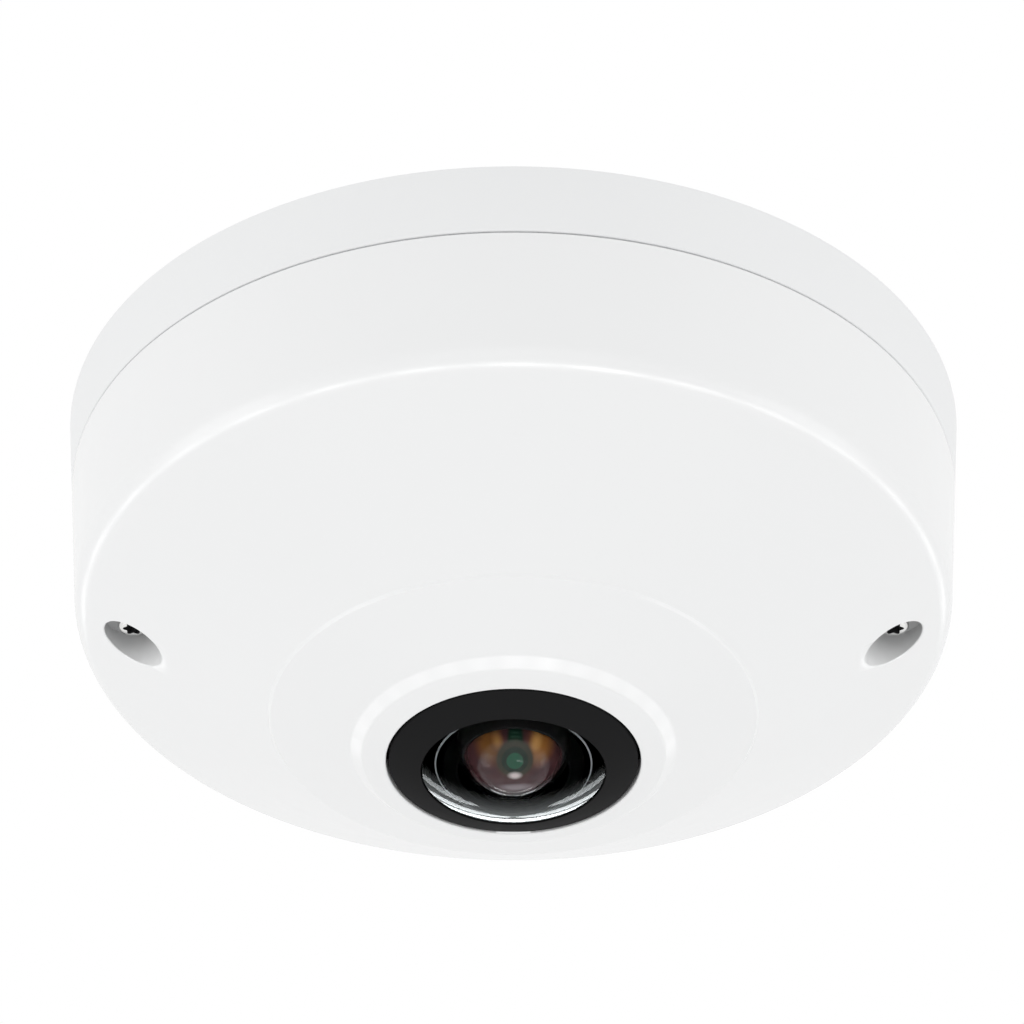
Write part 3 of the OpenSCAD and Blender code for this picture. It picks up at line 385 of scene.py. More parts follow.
def pegs(name, radius, low, high, places, segments=48):
    bm = bmesh.new()
    for place in places:
        turn_into(bm, disc_line(radius, low, high), False, segments, place)
    return finished(name, bm)


def ring_places(radius, degrees):
    return [(radius * cos(radians(d)), radius * sin(radians(d))) for d in degrees]


def dress(piece, material, body, slot, *replaced):
    piece.data.materials.clear()
    piece.data.materials.append(material)
    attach(piece, body)
    if replaced:
        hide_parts(*replaced)
    print(piece.name, "rides on", body, "with", len(piece.data.polygons), "faces")
    return piece


# %% [markdown]
# ## Finishes
# A finish is one Principled shader whose colour, roughness and bump are fed by small procedural patterns.
# The patterns read Object coordinates, which are the place in metres, as every piece sits at the origin.
# Numbers that are the same all over are typed into the shader's own sockets.

# %% Pattern tools


def new_finish(name, roughness, metallic=0.0, specular=0.5):
    material = bpy.data.materials.new(name)
    material.use_nodes = True
    shader = material.node_tree.nodes["Principled BSDF"]
    shader.inputs["Roughness"].default_value = roughness
    shader.inputs["Metallic"].default_value = metallic
    shader.inputs["Specular IOR Level"].default_value = specular
    return material, material.node_tree, shader


def object_place(tree, stretch=(1, 1, 1)):
    coords = tree.nodes.new("ShaderNodeTexCoord")
    mapping = tree.nodes.new("ShaderNodeMapping")
    mapping.inputs["Scale"].default_value = stretch
    tree.links.new(coords.outputs["Object"], mapping.inputs["Vector"])
    return mapping.outputs["Vector"]


def speckle(tree, place, size, detail=2.0):
    """Noise whose blobs measure about size millimetres."""
    noise = tree.nodes.new("ShaderNodeTexNoise")
    noise.inputs["Scale"].default_value = 1 / (size * MM)
    noise.inputs["Detail"].default_value = detail
    tree.links.new(place, noise.inputs["Vector"])
    return noise.outputs["Fac"]


def spread(tree, value, low, high):
    span = tree.nodes.new("ShaderNodeMapRange")
    span.inputs["To Min"].default_value = low
    span.inputs["To Max"].default_value = high
    tree.links.new(value, span.inputs["Value"])
    return span.outputs["Result"]


def blended(tree, value, first, second):
    mix = tree.nodes.new("ShaderNodeMix")
    mix.data_type = "RGBA"
    mix.inputs["A"].default_value = (*first, 1)
    mix.inputs["B"].default_value = (*second, 1)
    tree.links.new(value, mix.inputs["Factor"])
    return mix.outputs["Result"]


def bumped(tree, shader, height, depth):
    """Bump whose full height measures depth millimetres."""
    bump = tree.nodes.new("ShaderNodeBump")
    bump.inputs["Strength"].default_value = 1
    bump.inputs["Distance"].default_value = depth * MM
    tree.links.new(height, bump.inputs["Height"])
    tree.links.new(bump.outputs["Normal"], shader.inputs["Normal"])


# %% [markdown]
# Masks pick out a region by its place in the object: a stretch along one axis, or an oval seen from below.
# They run smoothly from 0 to 1, and layers of colour are laid over each other through them.

# %% Mask tools


def ramp(tree, value, low, high):
    span = tree.nodes.new("ShaderNodeMapRange")
    span.inputs["From Min"].default_value = low
    span.inputs["From Max"].default_value = high
    tree.links.new(value, span.inputs["Value"])
    return span.outputs["Result"]


def along(tree, place, axis, low, high):
    """0 below low millimetres on an axis, 1 above high."""
    apart = tree.nodes.new("ShaderNodeSeparateXYZ")
    tree.links.new(place, apart.inputs[0])
    return ramp(tree, apart.outputs[axis], low * MM, high * MM)


def blob(tree, place, centre, size, inner=0.0):
    """1 in the middle of an oval in X and Y, falling to 0 at its edge."""
    mapping = tree.nodes.new("ShaderNodeMapping")
    mapping.inputs["Scale"].default_value = (1 / (size[0] * MM), 1 / (size[1] * MM), 0)
    mapping.inputs["Location"].default_value = (-centre[0] / size[0], -centre[1] / size[1], 0)
    tree.links.new(place, mapping.inputs["Vector"])
    distance = tree.nodes.new("ShaderNodeVectorMath")
    distance.operation = "LENGTH"
    tree.links.new(mapping.outputs["Vector"], distance.inputs[0])
    fade = tree.nodes.new("ShaderNodeMapRange")
    fade.interpolation_type = "SMOOTHSTEP"
    fade.inputs["From Min"].default_value = inner
    fade.inputs["To Min"].default_value = 1
    fade.inputs["To Max"].default_value = 0
    tree.links.new(distance.outputs["Value"], fade.inputs["Value"])
    return fade.outputs["Result"]


def product(tree, first, second):
    times = tree.nodes.new("ShaderNodeMath")
    times.operation = "MULTIPLY"
    tree.links.new(first, times.inputs[0])
    tree.links.new(second, times.inputs[1])
    return times.outputs[0]


def layered(tree, under, value, colour):
    mix = tree.nodes.new("ShaderNodeMix")
    mix.data_type = "RGBA"
    mix.inputs["B"].default_value = (*colour, 1)
    tree.links.new(value, mix.inputs["Factor"])
    tree.links.new(under, mix.inputs["A"])
    return mix.outputs["Result"]


# %% [markdown]
# Moulded plastic and paint differ only in tone, gloss and grain, so one helper makes them all:
# a slow mottle shifts the colour by a hair, a finer one varies the gloss, and a fine grain is the bump.

# %% Plastic helper


def grained(name, colour, shade, roughness, gloss_play, grain, depth, specular=0.5):
    material, tree, shader = new_finish(name, roughness, specular=specular)
    place = object_place(tree)
    darker = tuple(c * shade for c in colour)
    tone = blended(tree, speckle(tree, place, 40), colour, darker)
    tree.links.new(tone, shader.inputs["Base Color"])
    gloss = spread(tree, speckle(tree, place, 6), roughness - gloss_play, roughness + gloss_play)
    tree.links.new(gloss, shader.inputs["Roughness"])
    bumped(tree, shader, speckle(tree, place, grain, 3), depth)
    return material


# %% White shell and black ring finishes
# Painted shade in the two screw recesses: its axis, radius, depth range and tone.
SHADE_AXIS = 63.7
SHADE_R = 5.0
SHADE_FROM, SHADE_FULL = -45.5, -38.6
PAINTED_SHADE_TONE = (0.45, 0.452, 0.454)


def white_plastic():
    """The cover's finish, with soft shade painted deep in the two screw recesses, darker near their seats."""
    material = grained("white_plastic", (0.865, 0.87, 0.872), 0.985, 0.26, 0.02, 0.35, 0.002)
    tree = material.node_tree
    shader = tree.nodes["Principled BSDF"]
    tone = shader.inputs["Base Color"].links[0].from_socket
    place = object_place(tree)
    painted_shade_depth = along(tree, place, "Z", SHADE_FROM, SHADE_FULL)
    # Painted shade: the recess walls darken towards the screw seats, where real shade falls.
    for side in (-1, 1):
        recess = product(tree, painted_shade_depth, blob(tree, place, (side * SHADE_AXIS, 0), (SHADE_R, SHADE_R), 0.96))
        tone = layered(tree, tone, recess, PAINTED_SHADE_TONE)
    tree.links.new(tone, shader.inputs["Base Color"])
    return material


def white_casting():
    return grained("white_casting", (0.845, 0.852, 0.856), 0.98, 0.46, 0.03, 0.5, 0.004)


def satin_black():
    return grained("satin_black", (0.0155, 0.0155, 0.0160), 0.85, 0.5, 0.04, 0.3, 0.003, specular=0.015)


WHITE_PLASTIC = white_plastic()
WHITE_CASTING = white_casting()
SATIN_BLACK = satin_black()

# %% [markdown]
# ## The cover
# The cover is one white moulded shell: a nearly upright wall, a rounded shoulder, a shallow cone, a fine
# raised line where the front panel begins, and a soft collar round the lens. It could be sculpted from a
# cylinder, but the outline decides everything, so it is drawn as corners with radii and turned.

# %% Cover sizes
BASE_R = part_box("mounting_base")[1].x / MM
WALL_DRAFT = 1.4
SEAM_DEPTH = 13
SEAM_GAP = 0.25
SEAM_ROUND = 0.35
SHOULDER_DEPTH = 37.9
SHOULDER_ROUND = 5
COVER_WALL = 2.4
STEP_R = 40.6
STEP_DEPTH = 58.7
STEP_H = 0.35
FOOT_R = 27.2
FOOT_DEPTH = 65.1
CROWN_R = 25.3
LIP_DEPTH = 68.1
CROWN_DROP = 1.1
LENS_HOLE_R = 21.25
CONE_RINGS = (69.8, 57.6)
OVERRUN = 1.0
SHOULDER_R = BASE_R - WALL_DRAFT
CONE_SLOPE = (STEP_DEPTH - SHOULDER_DEPTH) / (SHOULDER_R - STEP_R)
FRONT_SLOPE = (FOOT_DEPTH - STEP_DEPTH - STEP_H) / (STEP_R - FOOT_R)


def wall_r(depth):
    return BASE_R - WALL_DRAFT * depth / SHOULDER_DEPTH


def cone_depth(radius):
    return SHOULDER_DEPTH + (SHOULDER_R - radius) * CONE_SLOPE


print("cover lip at", round(LIP_DEPTH, 2), "mm, cone slope", round(CONE_SLOPE, 3))

# %% Cover outline
EDGE_DEPTH = SEAM_DEPTH + SEAM_GAP
cover_line = rounded([
    (wall_r(EDGE_DEPTH), EDGE_DEPTH, SEAM_ROUND),
    (SHOULDER_R, SHOULDER_DEPTH, SHOULDER_ROUND),
    *[(radius, cone_depth(radius)) for radius in CONE_RINGS],
    (STEP_R + STEP_H, STEP_DEPTH - STEP_H * CONE_SLOPE, 0.15),
    (STEP_R, STEP_DEPTH + STEP_H, 0.18),
    (FOOT_R, FOOT_DEPTH, 2),
    (CROWN_R, LIP_DEPTH - CROWN_DROP, 1.3),
    (LENS_HOLE_R, LIP_DEPTH, 0.25),
    (LENS_HOLE_R, EDGE_DEPTH),
])
cover = turned("cover_shell", cover_line)
print("cover outline has", len(cover_line), "points")

# %% [markdown]
# The inside follows the outside one wall thickness in. The same skin line is moved sideways, and the solid
# between it and the axis is cut away, except where the two screw bosses stand.

# %% Cover inside
HEAD_H = 2.3
SCREW_R = (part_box("cover_screw_right")[0].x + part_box("cover_screw_right")[1].x) / 2 / MM
SEAT_DEPTH = -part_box("cover_screw_right")[0].z / MM - HEAD_H
RECESS_R = 4.85
BOSS_WALL = 1.9
BOSS_DEPTH = SEAT_DEPTH - 4.2
SCREW_PLACES = [(SCREW_R, 0), (-SCREW_R, 0)]


def crossing(a, b, c, d):
    """Where the line from a to b meets the line from c to d."""
    u, v, w = b - a, d - c, c - a
    return a + u * ((w.x * v.y - w.y * v.x) / (u.x * v.y - u.y * v.x))


def moved_in(points, distance):
    sides = []
    for a, b in zip(points, points[1:]):
        along = (b - a).normalized()
        across = Vector((along.y, -along.x)) * -distance
        sides.append((a + across, b + across))
    inner = [sides[0][0]] + [crossing(*p, *q) for p, q in zip(sides, sides[1:])]
    return inner + [sides[-1][1]]


cavity_top = EDGE_DEPTH - OVERRUN
skin = [
    Vector((wall_r(cavity_top), cavity_top)), Vector((SHOULDER_R, SHOULDER_DEPTH)),
    Vector((STEP_R, STEP_DEPTH)), Vector((FOOT_R, FOOT_DEPTH)),
    Vector((LENS_HOLE_R - OVERRUN, FOOT_DEPTH + (FOOT_R - LENS_HOLE_R + OVERRUN) * FRONT_SLOPE)),
]
cavity_line = moved_in(skin, COVER_WALL)
cavity = turned("cavity", cavity_line + [Vector((LENS_HOLE_R - OVERRUN, cavity_top))])
bosses = pegs("bosses", RECESS_R + BOSS_WALL, BOSS_DEPTH, FOOT_DEPTH, SCREW_PLACES, 96)
cover = cut(cover, cut(cavity, bosses))
print("inner wall starts at", [round(v, 2) for v in cavity_line[0]])

# %% [markdown]
# Each screw sits in a deep round recess whose mouth runs out through the cone. The mouth is eased: the cutter
# has a small chamfer that follows the slope, so the rim catches a thin light line as a moulded edge does.

# %% Screw recesses
EASE = 0.22
CUTTER_REACH = 8
SHANK_HOLE_R = 1.7


def recess_cutter(name, place):
    bm = bmesh.new()
    bmesh.ops.create_circle(bm, cap_ends=True, segments=96, radius=RECESS_R * MM)
    bmesh.ops.translate(bm, verts=bm.verts, vec=(place[0] * MM, place[1] * MM, -SEAT_DEPTH * MM))
    rim = list(bm.edges)
    for grow, drop in ((0, -EASE), (EASE, 0), (2 * EASE, EASE), (2 * EASE, CUTTER_REACH)):
        grown = bmesh.ops.extrude_edge_only(bm, edges=rim)
        ring = [v for v in grown["geom"] if isinstance(v, bmesh.types.BMVert)]
        rim = [e for e in grown["geom"] if isinstance(e, bmesh.types.BMEdge)]
        for v in ring:
            out = Vector((v.co.x / MM - place[0], v.co.y / MM - place[1]))
            out = out.normalized() * (RECESS_R + grow)
            x, y = place[0] + out.x, place[1] + out.y
            v.co = (x * MM, y * MM, -(cone_depth(hypot(x, y)) + drop) * MM)
    bmesh.ops.contextual_create(bm, geom=rim)
    return finished(name, bm)


for place in SCREW_PLACES:
    cover = cut(cover, recess_cutter("recess", place))
    cover = cut(cover, pegs("shank_hole", SHANK_HOLE_R, EDGE_DEPTH, SEAT_DEPTH + OVERRUN, [place]))
print("cover has", len(cover.data.polygons), "faces")

# %% [markdown]
# A small flat key on the collar lines the cover up with the black ring, at the side away from the viewer.

# %% Key
KEY_W = 5.8
KEY_H = 0.45
KEY_T = 1.2
KEY_LOW = 65.7
KEY_HIGH = 67.85
KEY_EASE = 0.12
KEY_Y = LENS_HOLE_R - KEY_H


def bevelled(bm, edges, width, steps, clamped=False):
    bmesh.ops.bevel(
        bm, geom=edges, offset=width * MM, segments=steps, profile=0.5, affect="EDGES", material=-1,
        clamp_overlap=clamped,
    )


def soft_block(bm, low, high, ease, steps=2):
    low, high = Vector(low), Vector(high)
    made = bmesh.ops.create_cube(bm, size=1)["verts"]
    size = high - low
    shape = Matrix.Translation((low + high) / 2 * MM) @ Matrix.Diagonal((*(size * MM), 1))
    bmesh.ops.transform(bm, matrix=shape, verts=made)
    bevelled(bm, list(dict.fromkeys(e for v in made for e in v.link_edges)), ease, steps)


bm = bmesh.new()
soft_block(bm, (-KEY_W / 2, KEY_Y, -KEY_HIGH), (KEY_W / 2, KEY_Y + KEY_T, -KEY_LOW), KEY_EASE)
cover = joined(cover, finished("key", bm))
dress(cover, WHITE_PLASTIC, "front_cover", "white_plastic", "cover")

# %% [markdown]
# The long highlight on the rounded shoulder comes from an arc of small round lamps, weaker towards the sides.
# Their diffuse light is off and only the cover sees them, so the highlight is nearly all that they add.

# %% Shoulder lights
SHINE_TILT = radians(44)
SHINE_TURNS = range(-84, 85, 12)
SHINE_SIZE = (0.26, 0.26)
SHINE_POWERS = (2.0, -0.0185)

for lamp in mirrored_row("shoulder_light", cover, -1, SHINE_TILT, SHINE_TURNS, SHINE_SIZE, SHINE_POWERS):
    lamp.visible_diffuse = False
print("shoulder lights:", len(SHINE_TURNS))

# %% [markdown]
# ## The base
# The base ring carries on the cover's wall up to the ceiling, with a thin open seam between them. Seen from
# behind it has shallow pockets between ribs, a foam gasket in a groove, four screw holes and a cable grommet.

# %% Base sizes
TONGUE_GAP = 0.3
TONGUE_T = 1.4
TONGUE_H = 3.5
FLOOR_T = 3
TONGUE_R = wall_r(SEAM_DEPTH) - COVER_WALL - TONGUE_GAP
TONGUE_IN_R = TONGUE_R - TONGUE_T
TONGUE_END = SEAM_DEPTH + TONGUE_H
BACK_ROUND = 0.4
TONGUE_ROUND = 0.3
FLOOR_ROUND = 2
GASKET_R = BASE_R - 4.6
GASKET_W = 4
GASKET_T = 1.5
POCKET_R = 62
PAD_R = 14
POCKET_T = 1.2
RIB_W = 2.4
RIBS = 8
MOUNT_R = 59
MOUNT_HOLE_R = 2.3
MOUNT_BOSS_R = 6
MOUNT_BOSS_H = 2
PAST_FLOOR = 10
GROMMET_R = 10
WAIST_R = 8
GROMMET_GAP = 0.05
CABLE_R = 51.5
CABLE_DEGREES = 112
CABLE_PLACE = ring_places(CABLE_R, [CABLE_DEGREES])
MOUNT_PLACES = ring_places(MOUNT_R, [45, 135, 225, 315])

# %% Base tray
base = turned("base_tray", rounded([
    (0, 0), (BASE_R, 0, BACK_ROUND), (wall_r(SEAM_DEPTH), SEAM_DEPTH, SEAM_ROUND),
    (TONGUE_R, SEAM_DEPTH, 0.2), (TONGUE_R, TONGUE_END, TONGUE_ROUND),
    (TONGUE_IN_R, TONGUE_END, TONGUE_ROUND), (TONGUE_IN_R, FLOOR_T, FLOOR_ROUND), (0, FLOOR_T),
]), closed=False)


def ring_line(outer, inner, low, high):
    return [Vector((inner, low)), Vector((outer, low)), Vector((outer, high)), Vector((inner, high))]


base = cut(base, turned("groove", ring_line(GASKET_R, GASKET_R - GASKET_W, -OVERRUN, GASKET_T)))
print("tongue at radius", round(TONGUE_R, 2))

# %% [markdown]
# One ring between pad and gasket cuts all the pockets at once. Bars across the whole base are taken out of it
# first, so that they stay as ribs, and so is the boss round each ceiling screw. Each bar makes two ribs.

# %% Base pockets
RIB_EASE = 0.1


def pocket_cutter():
    cutter = turned("pockets", ring_line(POCKET_R, PAD_R, -OVERRUN, POCKET_T), segments=128)
    for i in range(RIBS // 2):
        bar = bmesh.new()
        soft_block(bar, (-BASE_R, -RIB_W / 2, -2 * POCKET_T), (BASE_R, RIB_W / 2, 2 * OVERRUN), RIB_EASE, 1)
        turn = Matrix.Rotation(TURN * i / RIBS, 3, "Z")
        bmesh.ops.rotate(bar, cent=(0, 0, 0), matrix=turn, verts=bar.verts)
        cutter = cut(cutter, finished("rib", bar))
    return cut(cutter, pegs("boss", MOUNT_BOSS_R, -2 * OVERRUN, 2 * POCKET_T, MOUNT_PLACES))


base = cut(base, pocket_cutter())
base = joined(base, pegs("bosses", MOUNT_BOSS_R, FLOOR_T / 2, FLOOR_T + MOUNT_BOSS_H, MOUNT_PLACES))
base = cut(base, pegs("holes", MOUNT_HOLE_R, -OVERRUN, PAST_FLOOR, MOUNT_PLACES))
base = cut(base, pegs("flange", GROMMET_R + GROMMET_GAP, -OVERRUN, POCKET_T, CABLE_PLACE, 64))
base = cut(base, pegs("waist", WAIST_R + GROMMET_GAP, -OVERRUN, PAST_FLOOR, CABLE_PLACE, 64))
print("base has", len(base.data.polygons), "faces")

# %% [markdown]
# Inside stand the posts: two wide ones take the cover screws, and six slim ones carry the main board.

# %% Base posts
BOARD_DEPTH = -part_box("main_board")[1].z / MM
OUTER_POSTS = ring_places(41, [0, 150, 240])
INNER_POSTS = ring_places(27, [30, 150, 270])
BOARD_POST_R = 3.2
POST_R = 4.6
POST_DEPTH = BOSS_DEPTH - 0.3
POST_BORE_R = 3.0
POST_BORE_L = 5.5
WEB_EASE = 0.2

base = joined(base, pegs("board_posts", BOARD_POST_R, FLOOR_T / 2, BOARD_DEPTH, OUTER_POSTS + INNER_POSTS))
bm = bmesh.new()
for side in (-1, 1):
    reach = sorted((side * SCREW_R, side * (TONGUE_IN_R + TONGUE_T / 2)))
    soft_block(bm, (reach[0], -RIB_W / 2, -SEAM_DEPTH), (reach[1], RIB_W / 2, -FLOOR_T / 2), WEB_EASE)
base = joined(base, finished("webs", bm))
base = joined(base, pegs("screw_posts", POST_R, FLOOR_T / 2, POST_DEPTH, SCREW_PLACES))
base = cut(base, pegs("bores", POST_BORE_R, POST_DEPTH - POST_BORE_L, POST_DEPTH + OVERRUN, SCREW_PLACES))
dress(base, WHITE_CASTING, "base", "white_casting", "mounting_base")

# %% [markdown]
# ## The black ring
# The bezel is a satin black cone that rises from just behind the collar's lip to the rim of the glass.

# %% Bezel
GLASS_R = 15.3
RIM_DEPTH = 69.9
BEZEL_R = LENS_HOLE_R - 0.45
BEZEL_BORE_R = GLASS_R + 0.12
BEZEL_FRONT = RIM_DEPTH + 0.2
BEZEL_EDGE = LIP_DEPTH - 0.15
BEZEL_BACK = BEZEL_EDGE - 2.1
BEZEL_IN_R = BEZEL_R - 1.6
BEZEL_T = 0.8
BEZEL_SLOPE = (BEZEL_FRONT - BEZEL_EDGE) / (BEZEL_R - BEZEL_BORE_R)
NOTCH_GAP = 0.3
NOTCH_W = KEY_W + 2 * NOTCH_GAP
NOTCH_Y = KEY_Y - NOTCH_GAP
NOTCH_REACH = 3
NOTCH_EASE = 0.1

bezel = turned("bezel_ring", rounded([
    (BEZEL_R, BEZEL_BACK), (BEZEL_R, BEZEL_EDGE, 0.3), (BEZEL_BORE_R, BEZEL_FRONT, 0.12),
    (BEZEL_BORE_R, BEZEL_FRONT - BEZEL_T),
    (BEZEL_IN_R, BEZEL_EDGE + (BEZEL_R - BEZEL_IN_R) * BEZEL_SLOPE - BEZEL_T), (BEZEL_IN_R, BEZEL_BACK),
]))
bm = bmesh.new()
notch_low = (-NOTCH_W / 2, NOTCH_Y, -LIP_DEPTH - NOTCH_REACH)
notch_high = (NOTCH_W / 2, NOTCH_Y + NOTCH_REACH, -BEZEL_BACK + NOTCH_REACH)
soft_block(bm, notch_low, notch_high, NOTCH_EASE, 1)
bezel = cut(bezel, finished("notch", bm))
dress(bezel, SATIN_BLACK, "base", "satin_black", "lens_bezel")

# %% [markdown]
# ## The lens
# A fisheye's front element is a thick meniscus: a dome outside and a deeper hollow behind. Real refraction is
# what makes the inner lenses seem to lean towards the viewer, so the glass gets its true shape and index.
# The glass is a mix of a refracting and a reflecting shader. The reflecting share follows Fresnel's law less
# a small amount, as a coating does: it takes away the faint veil and leaves the glancing reflections.

# %% Glass finish


def coated_glass(name, index, coating, tint, through=(1, 1, 1)):
    material = bpy.data.materials.new(name)
    material.use_nodes = True
    tree = material.node_tree
    tree.nodes.remove(tree.nodes["Principled BSDF"])
    place = object_place(tree)
    clear = tree.nodes.new("ShaderNodeBsdfRefraction")
    clear.inputs["IOR"].default_value = index
    clear.inputs["Roughness"].default_value = 0
    dim = tuple(0.97 * c for c in through)
    tree.links.new(blended(tree, speckle(tree, place, 9), through, dim), clear.inputs["Color"])
    shine = tree.nodes.new("ShaderNodeBsdfGlossy")
    shine.inputs["Roughness"].default_value = 0
    warm = (tint[0], 0.96 * tint[1], 0.93 * tint[2])
    tree.links.new(blended(tree, speckle(tree, place, 12), tint, warm), shine.inputs["Color"])
    share = tree.nodes.new("ShaderNodeFresnel")
    share.inputs["IOR"].default_value = index
    mix = tree.nodes.new("ShaderNodeMixShader")
    tree.links.new(ramp(tree, share.outputs[0], coating, 1), mix.inputs[0])
    tree.links.new(clear.outputs[0], mix.inputs[1])
    tree.links.new(shine.outputs[0], mix.inputs[2])
    tree.links.new(mix.outputs[0], tree.nodes["Material Output"].inputs["Surface"])
    return material


FRONT_GLASS = coated_glass("front_glass", 1.6, 0.09, (0.9, 0.97, 1.0))
PANE_GLASS = coated_glass("pane_glass", 1.5, 0.02, (1, 1, 1), (0.93, 0.97, 0.95))
FILTER_GLASS = coated_glass("filter_glass", 1.5, 0.02, (1, 0.7, 0.6), (0.45, 0.8, 0.85))

# %% [markdown]
# The back of the glass's flange is ground and dark blue-green. On the side away from the viewer it catches
# the light, and that light is painted on as a bright arc. Masks on the place in the object draw the two
# tones.

# %% Ground edge finishes


def ground_glass(name, colour, shade):
    return grained(name, colour, shade, 0.8, 0.05, 0.12, 0.004, specular=0.2)


def flange_back():
    material, tree, shader = new_finish("flange_back", 0.7, specular=0.1)
    place = object_place(tree)
    under = blended(tree, speckle(tree, place, 5), (0.012, 0.026, 0.028), (0.006, 0.012, 0.014))
    # Painted light: a bright arc on the far side of the flange's back, where the ground flange catches light.
    painted_light_side = along(tree, place, "Y", 1.5, 5.5)
    ring = blob(tree, place, (0, 0), (12.75, 12.75), 0.965)
    tone = layered(tree, under, product(tree, painted_light_side, ring), (0.9, 0.91, 0.92))
    tree.links.new(tone, shader.inputs["Base Color"])
    return material


GROUND_EDGE = ground_glass("ground_edge", (0.62, 0.68, 0.70), 0.9)
INKED_EDGE = ground_glass("inked_edge", (0.010, 0.011, 0.012), 0.7)
FLANGE_BACK = flange_back()

# %% Front element
GLASS_TOP = -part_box("front_lens")[0].z / MM
LEDGE_DEPTH = RIM_DEPTH - 3
LEDGE_R = GLASS_R + 0.9
FLANGE_DEPTH = LEDGE_DEPTH - 1.9
HOLLOW_R = 11.2
HOLLOW_TOP = GLASS_TOP - 1.5
EDGE_EASE = 0.2
TOUCH = 0.01

front_line = dome(GLASS_R, RIM_DEPTH, GLASS_TOP, 40) + [
    Vector((GLASS_R, LEDGE_DEPTH)), Vector((LEDGE_R, LEDGE_DEPTH)), Vector((LEDGE_R, FLANGE_DEPTH)),
    Vector((HOLLOW_R + EDGE_EASE, FLANGE_DEPTH)),
] + dome(HOLLOW_R, FLANGE_DEPTH + EDGE_EASE, HOLLOW_TOP, 40)[::-1]
front_lens = turned("front_glass", front_line, closed=False)


def paint_edges(lens):
    """Give the flange's back, the ground ledge and the hollow's eased edge their own finishes."""
    for finish in (FLANGE_BACK, INKED_EDGE, GROUND_EDGE):
        lens.data.materials.append(finish)
    painted = 0
    for face in lens.data.polygons:
        spots = [lens.data.vertices[i].co / MM for i in face.vertices]
        radii = [hypot(spot.x, spot.y) for spot in spots]
        depths = [-spot.z for spot in spots]
        if max(depths) < FLANGE_DEPTH + TOUCH:
            face.material_index = 1
        elif min(radii) > GLASS_R - TOUCH and max(depths) < RIM_DEPTH + TOUCH:
            face.material_index = 2
        elif max(depths) < FLANGE_DEPTH + EDGE_EASE + TOUCH and max(radii) < HOLLOW_R + EDGE_EASE + TOUCH:
            face.material_index = 3
        painted += face.material_index > 0
    print("painted edge faces:", painted)


dress(front_lens, FRONT_GLASS, "base", "coated_glass", "front_lens")
paint_edges(front_lens)

# %% [markdown]
# The far rim of the dome is seen at a glancing angle, so it mirrors what stands behind the object. A row of
# small panels, stronger towards the sides, stands where the rim mirrors it towards the camera.

# %% Rim lights
RIM_TILT = acos(0.41)
RIM_TURNS = range(-75, 76, 25)
RIM_SIZE = (0.62, 0.2)
RIM_POWERS = (0.8, 0.01)
RIM_AWAY = 1.6

mirrored_row("rim_panel", front_lens, 1, RIM_TILT, RIM_TURNS, RIM_SIZE, RIM_POWERS, RIM_AWAY)
print("rim lights:", len(RIM_TURNS))

# %% [markdown]
# The second element stands high in the hollow. Its coatings mirror the lamps and the room: amber on both
# sides, a green glint with fine rings in the middle, and dull plum below. Light that enters it is swallowed
# by the black barrel, so it is a dark glossy dome, and these reflections and highlights are painted on it as
# masks on the place in the object.

# %% Second element
# Painted reflections on the second element: amber lobes of the lamps, glint rings and pale highlights.
PAINTED_AMBER_REFLECTIONS = (
    ((-4.1, -7.2), (3.4, 3.6), (0.20, 0.085, 0.022)), ((4.5, -6.9), (3.3, 3.6), (0.30, 0.125, 0.030)),
    ((-2.6, -8.0), (1.3, 1.2), (0.34, 0.17, 0.055)), ((3.7, -7.6), (1.5, 1.5), (0.52, 0.27, 0.085)),
)
GLINT_RINGS = ((3.3, (0.05, 0.05, 0.035)), (2.4, (0.02, 0.035, 0.026)), (1.5, (0.025, 0.11, 0.065)))
PAINTED_HIGHLIGHTS = (
    ((0.24, -3.2), (1.5, 0.95), (0.70, 0.62, 0.62)), ((0.4, -0.4), (3.6, 1.3), (0.26, 0.22, 0.24)),
)

def coating_colours():
    material, tree, shader = new_finish("coating_colours", 0.06, specular=0.3)
    place = object_place(tree)
    tone = blended(tree, speckle(tree, place, 3), (0.085, 0.034, 0.034), (0.050, 0.026, 0.032))
    # Over the dark base: a darker far side, a brown patch, then painted reflections of the lamps in amber.
    tone = layered(tree, tone, along(tree, place, "Y", -2, 7), (0.012, 0.010, 0.016))
    tone = layered(tree, tone, blob(tree, place, (0.2, -5.4), (3.9, 3.4), 0.5), (0.075, 0.045, 0.030))
    for centre, size, colour in PAINTED_AMBER_REFLECTIONS:
        tone = layered(tree, tone, blob(tree, place, centre, size), colour)
    stripes = tree.nodes.new("ShaderNodeTexWave")
    stripes.bands_direction = "Z"
    stripes.inputs["Scale"].default_value = 0.45 / MM
    tree.links.new(place, stripes.inputs["Vector"])
    # Painted reflection of dark surroundings: a green band with fine lines.
    reflected_dark_band = layered(tree, tone, blob(tree, place, (0.3, -8.3), (1.6, 3.0), 0.55), (0.010, 0.030, 0.020))
    fine = product(tree, stripes.outputs["Fac"], blob(tree, place, (0.3, -8.0), (1.3, 1.6), 0.5))
    tone = layered(tree, reflected_dark_band, spread(tree, fine, 0, 0.6), (0.030, 0.075, 0.050))
    for radius, colour in GLINT_RINGS:
        tone = layered(tree, tone, blob(tree, place, (0.24, -5.7), (radius, 0.9 * radius), 0.8), colour)
    # Painted highlights: pale pinkish spots.
    for centre, size, colour in PAINTED_HIGHLIGHTS:
        tone = layered(tree, tone, blob(tree, place, centre, size, 0.2), colour)
    tree.links.new(tone, shader.inputs["Base Color"])
    return material


